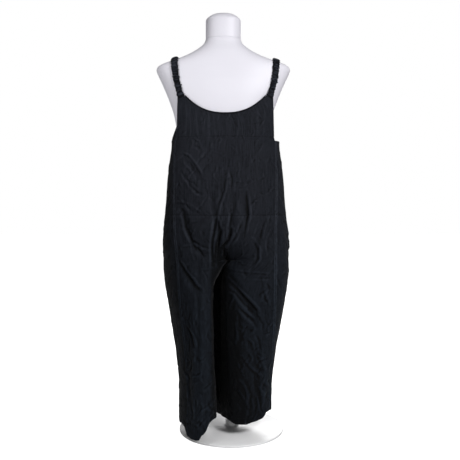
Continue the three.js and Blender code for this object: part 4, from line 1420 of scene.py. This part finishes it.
def add_garment():
    """Yoke, binding, bodice and legs, first of the back and then of the front."""
    for face in ("back", "front"):
        yoke = make_yoke(face)
        bodice = make_bodice(face)
        legs = {half: make_leg(face, half) for half in LEGS}
        binding_panel = make_neck_binding(face)
        binding = cloth_piece(binding_panel, BINDING_WALL)
        dress(binding, binding_panel.name, BINDING)
        soften = binding.modifiers.new("soft_edges", "BEVEL")
        soften.width = 0.8 * MM
        soften.segments = 2
        soften.limit_method = "ANGLE"
        soften.angle_limit = math.radians(50)

        lines = [upper_border(yoke), edge_line(yoke, "bottom", FLAT_SEAM_STITCHES)]
        lines += [edge_line(yoke, border, TURNED_EDGE_STITCHES) for border in ("left", "right")]
        stitches = add_stitches(f"{face}_yoke_stitches", lines)
        add_panel(yoke)
        lines = [edge_line(bodice, "bottom", FLAT_SEAM_STITCHES)]
        lines += [edge_line(bodice, border, SIDE_SEAM_STITCHES) for border in ("left", "right")]
        stitches = add_stitches(f"{face}_bodice_stitches", lines)
        add_panel(bodice)
        for half, leg in legs.items():
            outer = outer_border(face, half)
            lines = [edge_line(leg, "bottom", HEM_STITCHES), edge_line(leg, outer, SIDE_SEAM_STITCHES)]
            stitches = add_stitches(f"{face}_leg_{half}_stitches", lines)
            add_panel(leg)


# ---------------------------------------------------------------- the straps


def form_depth_value(point):
    """Below 1 inside the form, 1 on its skin and above 1 outside it."""
    side = value_at(FORM, FORM_COLUMNS, "side", point[2])
    depth = value_at(FORM, FORM_COLUMNS, "back" if point[1] < 0 else "front", point[2])
    return (abs(point[0]) / side) ** FORM_SQUARE + (abs(point[1]) / depth) ** FORM_SQUARE


def form_normal(point):
    """Straight out from the form's skin."""
    rise = []
    for axis in range(3):
        step = np.zeros(3)
        step[axis] = 0.5
        rise.append(form_depth_value(point + step) - form_depth_value(point - step))
    return np.array(rise) / np.linalg.norm(rise)


def leaves_form(start, direction):
    """Where a straight line from inside the form comes out of its skin."""
    inside, outside = 0.0, 300.0
    while outside - inside > 0.01:
        half = (inside + outside) / 2
        if form_depth_value(start + direction * half) < 1:
            inside = half
        else:
            outside = half
    return start + direction * outside


def tab(half, face):
    """The yoke's tab under the strap, as the garment's surface gives a place."""
    z = np.array([float(TAB_TOP)])
    return half, yoke_angles(face, np.array([STRAP_TAB_X]), z), z


def tab_end(half, face):
    """Where the strap starts or ends, a little way down on the tab."""
    point = cloth_point(*tab(half, face))[0]
    outward = -1 if face == "back" else 1
    return np.array([point[0], point[1] + outward * STRAP_OVER, TAB_TOP - STRAP_LAP])


def tab_normal(half, face):
    """Straight out from the tab."""
    return cloth_normal(*tab(half, face))[0]


def strap_line(half):
    """The strap's middle from the back tab over the shoulder to the front tab, as in the solids."""
    tab_z = TAB_TOP + SEAM_GAP
    sign = SIDE_OF[half]
    turns = []
    for face in ("back", "front"):
        out = abs(GARMENT_X + sign * STRAP_TAB_X) / value_at(FORM, FORM_COLUMNS, "side", tab_z)
        inward = (1 - out**FORM_SQUARE) ** (1 / FORM_SQUARE)
        depth = value_at(FORM, FORM_COLUMNS, face, tab_z) * inward
        turns.append(math.atan2(STRAP_CORE - tab_z, depth + STRAP_LIFT))
    line = []
    for i in range(STRAP_STEPS + 1):
        turn = lerp(-turns[0], math.pi + turns[1], i / STRAP_STEPS)
        out = max(0.0, math.sin(math.pi * i / STRAP_STEPS)) ** 0.8
        core = np.array([GARMENT_X + sign * lerp(STRAP_TAB_X, STRAP_TOP_X, out), 0.0, STRAP_CORE])
        point = leaves_form(core, np.array([0.0, -math.cos(turn), math.sin(turn)]))
        line.append(point + form_normal(point) * STRAP_LIFT)
    line[0], line[-1] = tab_end(half, "back"), tab_end(half, "front")
    return np.array(line)


def smooth_line(line, step):
    """A line through the same points, a step apart."""
    count = len(line) - 1
    fine = np.linspace(0, count, count * 24 + 1)
    index = np.clip(fine.astype(int), 0, count - 1)
    k = (fine - index)[:, None]
    tangents = np.gradient(line, axis=0)
    bend = k * k * (3 - 2 * k)
    points = (
        lerp(line[index], line[index + 1], bend)
        + tangents[index] * k * (1 - k) ** 2
        - tangents[index + 1] * k * k * (1 - k)
    )
    along = np.concatenate([[0], np.cumsum(np.linalg.norm(np.diff(points, axis=0), axis=1))])
    at = np.linspace(0, along[-1], int(along[-1] / step) + 1)
    return np.stack([np.interp(at, along, points[:, axis]) for axis in range(3)], axis=1), at


def strap_frame(half):
    """The strap's middle line and the length along it, and which ways are wide and thick."""
    line, along = smooth_line(strap_line(half), STRAP_RING_GAP)
    tangents = np.gradient(line, axis=0)
    tangents /= np.linalg.norm(tangents, axis=1, keepdims=True)
    outward = np.array([form_normal(p) for p in line])
    for face, away in (("back", along), ("front", along[-1] - along)):
        on_tab = 1 - smooth(away, 0, STRAP_TURN)[:, None]
        outward = lerp(outward, tab_normal(half, face), on_tab)
    wide = np.cross(tangents, outward)
    wide /= np.linalg.norm(wide, axis=1, keepdims=True)
    return line, along, wide, np.cross(wide, tangents)


def strap_ruffles(half, along, across):
    """How far the cross ruffles stand out, and how far they push the strap's edges out."""
    random = np.random.default_rng(STRAP_SEED[half])
    count = int(along[-1] / GATHER_PITCH * RUFFLES_TO_GATHER)
    starts = np.cumsum(random.uniform(0.5, 1.5, count))
    starts *= along[-1] / starts[-1]
    ruffle = np.zeros((len(along), len(across)))
    frill = np.zeros((len(along), len(across)))
    for start in starts:
        skew = random.normal(0, 2.0)
        bend = random.normal(0, 1.2)
        width = random.uniform(1.3, 2.4)
        height = random.uniform(1.3, 3.4)
        reach = random.uniform(0.6, 1.1)
        middle = random.uniform(-0.5, 0.5)
        line_at = start + skew * across + bend * np.cos(3 * across)
        bump = np.exp(-(((along[:, None] - line_at[None, :]) / width) ** 2))
        ruffle += height * bump * np.exp(-(((across[None, :] - middle) / reach) ** 4))
        frill += random.uniform(0.2, 3.0) * bump
    return ruffle, frill


def closed_rings(points):
    """The same rings with a very small one at each end, ready to be closed."""
    closing = []
    for end in (0, -1):
        middle = points[end].mean(axis=0)
        closing.append(middle[None, :] + (points[end] - middle) * 0.05)
    return np.concatenate([closing[0][None], points, closing[1][None]])


def add_strap(half):
    """A tube of cloth gathered along its elastic into uneven cross ruffles."""
    line, along, wide, thick = strap_frame(half)
    angle = np.linspace(0, 2 * np.pi, STRAP_SIDES, endpoint=False)
    across, deep = square_round(-angle, STRAP_SQUARE)
    ruffle, frill = strap_ruffles(half, along, across)
    ends = smooth(np.minimum(along, along[-1] - along)[:, None], 0, STRAP_PLAIN_END)
    reach = STRAP_WIDTH / 2 - STRAP_SLIMMER + (1 - ends) * STRAP_END_WIDER + frill * ends
    height = STRAP_THICKNESS / 2 - STRAP_THINNER + ruffle * lerp(STRAP_END_RUFFLE, 1.0, ends)
    under = np.where(deep < 0, STRAP_UNDERSIDE, 1.0)[None, :]
    points = closed_rings(
        line[:, None, :]
        + wide[:, None, :] * (reach * across[None, :])[..., None]
        + thick[:, None, :] * (height * deep[None, :] * under)[..., None]
    )
    lengths = np.concatenate([[along[0]], along, [along[-1]]])
    around = np.linspace(0, 2 * (STRAP_WIDTH + STRAP_THICKNESS), len(angle))
    # Ruffle tops rubbed paler, and painted shade between the ruffles
    rub_and_painted_light = np.clip((ruffle - 1.3) * 0.55 + 0.12 * frill, -1.1, 1.0)
    rub_and_painted_light = np.concatenate([rub_and_painted_light[:1], rub_and_painted_light, rub_and_painted_light[-1:]])
    mesh = grid_mesh(
        f"strap_{half}",
        points,
        np.repeat(around[None, :], len(points), axis=0),
        np.repeat(lengths[:, None], len(angle), axis=1) * GATHERED,
        closed=True,
    )
    close_ends(mesh, len(points), len(angle))
    mesh.attributes.new("wear_and_painted_light", "FLOAT", "POINT").data.foreach_set("value", rub_and_painted_light.ravel())
    piece = link(f"cloth_strap_{half}", mesh)
    dress(piece, f"strap_{half}", CLOTH)


def close_ends(mesh, rows, columns):
    """Adds a face at each end of a tube of rings."""
    points = np.zeros(len(mesh.vertices) * 3)
    mesh.vertices.foreach_get("co", points)
    layer = mesh.uv_layers["cut"]
    uv = np.zeros(len(mesh.loops) * 2)
    layer.data.foreach_get("uv", uv)
    faces = [tuple(f.vertices) for f in mesh.polygons]
    faces.append(tuple(reversed(range(columns))))
    faces.append(tuple(range((rows - 1) * columns, rows * columns)))
    mesh.clear_geometry()
    mesh.from_pydata(points.reshape(-1, 3).tolist(), [], faces)
    layer = mesh.uv_layers.get("cut") or mesh.uv_layers.new(name="cut")
    whole = np.concatenate([uv, np.zeros((len(mesh.loops) - len(uv) // 2) * 2)])
    layer.data.foreach_set("uv", whole)
    mesh.shade_smooth()


# ---------------------------------------------------------------- the dress form and its stand

FORM_SIDES = 160
NECK_JOINT = 1242
NECK_TOP = 1303
NECK_DOME = 22


def form_rings(heights, points):
    """The form's sections at some heights."""
    angle = np.linspace(0, 2 * np.pi, points, endpoint=False)
    across, deep = square_round(angle, FORM_SQUARE)
    side, back, front = (
        value_at(FORM, FORM_COLUMNS, name, heights) for name in ("side", "back", "front")
    )
    depth = np.where(deep[None, :] < 0, back[:, None], front[:, None])
    return np.stack(
        [
            side[:, None] * across[None, :],
            depth * deep[None, :],
            np.repeat(heights[:, None], points, axis=1),
        ],
        axis=-1,
    )


def ring_piece(name, node, rings, material):
    """A closed piece of the form from its rings."""
    rows, columns = rings.shape[:2]
    flat = np.zeros((rows, columns))
    mesh = grid_mesh(name, rings, flat, flat, closed=True)
    close_ends(mesh, rows, columns)
    piece = link(name, mesh)
    dress(piece, node, material)
    return piece


def add_form():
    """The shell in one smooth skin, and the neck block close on it with its domed top."""
    heights = np.concatenate([[592, 593, 595], np.arange(598, 1237, 5), [1238, 1240.4, 1241.9]])
    torso = form_rings(heights.astype(float), FORM_SIDES)
    foot = torso[0] * [0.93, 0.93, 1]
    inset = torso[-1] * [0.9, 0.9, 1]
    rings = np.concatenate([foot[None], torso, inset[None]])
    ring_piece("form_shell", "form_torso", rings, SHELL)
    base = form_rings(np.array([float(NECK_JOINT)]), FORM_SIDES)[0]
    profile = [(0.9, 1242.2), (0.996, 1242.2), (1.0, 1242.8)]
    profile += [(1.0, z) for z in range(1246, NECK_TOP - 6, 6)]
    edge = NECK_TOP - 2
    profile += [(0.999, edge - 3), (0.995, edge), (0.985, edge + 2.2)]
    sizes = [0.965, 0.93, 0.88, 0.82, 0.75, 0.67, 0.58, 0.48, 0.37, 0.25, 0.13, 0.04]
    profile += [(size, edge + 2 + NECK_DOME * (1 - size**3)) for size in sizes]
    neck = np.array([[(x * size, y * size, z) for x, y, _ in base] for size, z in profile])
    ring_piece("neck_block", "form_neck", neck, SHELL)


POLE_X = 26
POLE_RADIUS = 11
BASE_RADIUS = 165
BASE_THICKNESS = 7
BOSS_RADIUS = 19
BOSS_TOP = 30
FLANGE_RADIUS = 32
FLANGE_THICKNESS = 9
FORM_BOTTOM = 592
BASE_CROWN = 3
BOSS_FOOT = 7
BOSS_FOOT_RISE = 4
ROUNDED = {"base": 1.4, "pole": 0.8, "flange": 2.2}


def clear_selection():
    """Nothing stays selected."""
    for thing in bpy.context.selected_objects:
        thing.select_set(False)


def settle(piece):
    """Applies the piece's place and its modifiers."""
    clear_selection()
    piece.select_set(True)
    bpy.context.view_layer.objects.active = piece
    bpy.ops.object.transform_apply(location=True, rotation=True, scale=True)
    for modifier in list(piece.modifiers):
        bpy.ops.object.modifier_apply(modifier=modifier.name)


def cylinder(name, radius, low, high, sides=96):
    """A round bar or plate about the pole, between two heights."""
    clear_selection()
    bpy.ops.mesh.primitive_cylinder_add(
        vertices=sides,
        radius=radius * MM,
        depth=(high - low) * MM,
        location=(POLE_X * MM, 0, (low + high) / 2 * MM),
    )
    piece = bpy.context.object
    piece.name = name
    return piece


def select_top(piece):
    """Selects the highest face alone, ready for edit mode."""
    mesh = piece.data
    top = max(f.center.z for f in mesh.polygons)
    for face in mesh.polygons:
        face.select = face.center.z > top - 1e-6 and face.normal.z > 0.9
    for edge in mesh.edges:
        edge.select = False
    for vertex in mesh.vertices:
        vertex.select = False
    bpy.context.view_layer.objects.active = piece
    bpy.ops.object.mode_set(mode="EDIT")
    bpy.ops.mesh.select_mode(type="FACE")
    bpy.ops.object.mode_set(mode="OBJECT")
    for face in mesh.polygons:
        face.select = face.center.z > top - 1e-6 and face.normal.z > 0.9
    bpy.ops.object.mode_set(mode="EDIT")


def round_edges(piece, width, angle=30):
    """Rounds the sharp edges of a piece."""
    bevel = piece.modifiers.new("edge", "BEVEL")
    bevel.width = width * MM
    bevel.segments = 3
    bevel.limit_method = "ANGLE"
    bevel.angle_limit = math.radians(angle)


def finish_hard(piece, node, material):
    """Applies what a hard piece still has to be given, and dresses it."""
    settle(piece)
    clear_selection()
    piece.select_set(True)
    bpy.ops.object.shade_smooth_by_angle(angle=math.radians(32))
    dress(piece, node, material)


def add_stand():
    """The round base with its boss, the pole and the flange under the form."""
    base = cylinder("round_base", BASE_RADIUS, 0, BASE_THICKNESS)
    select_top(base)
    bpy.ops.mesh.inset(thickness=(BASE_RADIUS - BOSS_RADIUS - BOSS_FOOT) * MM)
    bpy.ops.transform.translate(value=(0, 0, BASE_CROWN * MM))
    bpy.ops.mesh.inset(thickness=BOSS_FOOT * MM)
    bpy.ops.transform.translate(value=(0, 0, BOSS_FOOT_RISE * MM))
    boss = BOSS_TOP - BASE_THICKNESS - BASE_CROWN - BOSS_FOOT_RISE
    bpy.ops.mesh.extrude_region_move(TRANSFORM_OT_translate={"value": (0, 0, boss * MM)})
    bpy.ops.object.mode_set(mode="OBJECT")
    round_edges(base, ROUNDED["base"])
    finish_hard(base, "stand_base", COAT)

    flange_bottom = FORM_BOTTOM - SEAM_GAP - FLANGE_THICKNESS
    pole = cylinder("pole", POLE_RADIUS, BOSS_TOP + SEAM_GAP, flange_bottom - SEAM_GAP, 64)
    round_edges(pole, ROUNDED["pole"])
    finish_hard(pole, "stand_pole", COAT)

    flange = cylinder("flange", FLANGE_RADIUS, flange_bottom, flange_bottom + FLANGE_THICKNESS)
    round_edges(flange, ROUNDED["flange"])
    finish_hard(flange, "stand_flange", COAT)


# ---------------------------------------------------------------- room, lights and camera

# In metres: where the camera stands, how wide a view it takes in at the form, and how far the
# middle of that view lies below its axis
CAMERA_BACK = 2.1
CAMERA_HEIGHT = 0.762
CAMERA_SIDE = 0.0214
VIEW_WIDTH = 1.472
VIEW_DROP = 0.128
SENSOR = 36
ROOM_LIGHT = 0.15
WHITE = (1, 1, 1, 1)


def add_floor():
    """A white floor, brighter away from the stand so that it runs out into the background."""
    clear_selection()
    bpy.ops.mesh.primitive_plane_add(size=14, location=(0, 2, 0))
    floor = bpy.context.object
    floor.name = "floor"
    material, tree, shader = new_material("floor_white")
    place = add_node(tree, "ShaderNodeTexCoord")
    away = add_node(tree, "ShaderNodeVectorMath", operation="LENGTH")
    tree.links.new(place.outputs["Object"], away.inputs[0])
    glow = add_node(
        tree,
        "ShaderNodeMapRange",
        [("Value", away.outputs["Value"])],
        interpolation_type="SMOOTHSTEP",
        From_Min=0.12,
        From_Max=0.75,
        To_Min=0.45,
        To_Max=1.0,
    )
    path = add_node(tree, "ShaderNodeLightPath")
    seen = maths(tree, "MULTIPLY", glow.outputs["Result"], path.outputs["Is Camera Ray"])
    tree.links.new(seen, shader.inputs["Emission Strength"])
    shader.inputs["Emission Color"].default_value = WHITE
    shader.inputs["Base Color"].default_value = (0.72, 0.72, 0.72, 1)
    shader.inputs["Roughness"].default_value = 0.9
    floor.data.materials.append(material)


def add_background():
    """White to look at, and a weak even light on everything."""
    world = bpy.data.worlds.new("studio")
    world.use_nodes = True
    tree = world.node_tree
    lighting = tree.nodes["Background"]
    lighting.inputs["Strength"].default_value = ROOM_LIGHT
    seen = add_node(tree, "ShaderNodeBackground", Strength=1.0)
    seen.inputs["Color"].default_value = WHITE
    lighting.inputs["Color"].default_value = WHITE
    path = add_node(tree, "ShaderNodeLightPath")
    mix = add_node(tree, "ShaderNodeMixShader", [("Fac", path.outputs["Is Camera Ray"])])
    tree.links.new(lighting.outputs["Background"], mix.inputs[1])
    tree.links.new(seen.outputs["Background"], mix.inputs[2])
    tree.links.new(mix.outputs["Shader"], tree.nodes["World Output"].inputs["Surface"])
    bpy.context.scene.world = world


def aim_lamp(lamp, place, target):
    """Puts a lamp in its place, shining at the target."""
    direction = np.array(place, float) - np.array(target, float)
    forward = direction / np.linalg.norm(direction)
    right = np.cross((0, 0, 1), forward)
    right /= np.linalg.norm(right)
    up = np.cross(forward, right)
    lamp.matrix_world = Matrix(
        [[right[i], up[i], forward[i], place[i]] for i in range(3)] + [[0, 0, 0, 1]]
    )
    bpy.context.collection.objects.link(lamp)


def add_light(name, place, target, size, power):
    """A round soft lamp."""
    light = bpy.data.lights.new(name, "AREA")
    light.shape = "DISK"
    light.size = size
    light.energy = power
    aim_lamp(bpy.data.objects.new(name, light), place, target)


def add_floor_wash():
    """A soft box straight above the floor in front, whose narrow beam falls on the base plate."""
    light = bpy.data.lights.new("floor_wash", "AREA")
    light.shape = "RECTANGLE"
    light.size, light.size_y = 0.9, 0.3
    light.energy = 0.9
    light.spread = math.radians(14)
    lamp = bpy.data.objects.new("floor_wash", light)
    lamp.location = (0, -0.4, 1.9)
    bpy.context.collection.objects.link(lamp)


def add_spot(name, place, target, radius, power, beam):
    """A soft spot light: the beam is its full angle in degrees."""
    light = bpy.data.lights.new(name, "SPOT")
    light.shadow_soft_size = radius
    light.energy = power
    light.spot_size = math.radians(beam)
    light.spot_blend = 1.0
    aim_lamp(bpy.data.objects.new(name, light), place, target)


def add_camera():
    """Level with the garment, looking at its back."""
    data = bpy.data.cameras.new("camera")
    data.sensor_width = SENSOR
    data.lens = CAMERA_BACK / VIEW_WIDTH * SENSOR
    data.shift_y = -VIEW_DROP / VIEW_WIDTH
    camera = bpy.data.objects.new("camera", data)
    camera.location = (CAMERA_SIDE, -CAMERA_BACK, CAMERA_HEIGHT)
    camera.rotation_euler = (math.pi / 2, 0, 0)
    bpy.context.collection.objects.link(camera)
    bpy.context.scene.camera = camera


add_camera()
add_floor()
add_background()
add_light("key", (1.15, -1.65, 1.8), (0, 0, 1.1), 0.8, 43)
add_light("fill", (-1.4, -3.0, 1.8), (0, 0, 1.1), 1.6, 5)
add_light("behind", (0.3, 3.0, 1.5), (0, 0, 0.8), 1.6, 52)
add_spot("shoulder", (-1.5, -1.4, 1.25), (-0.15, 0, 1.08), 0.25, 80, 26)
add_floor_wash()
add_form()
add_stand()
add_garment()
add_strap("left")
add_strap("right")
bpy.context.scene.view_settings.view_transform = "Standard"
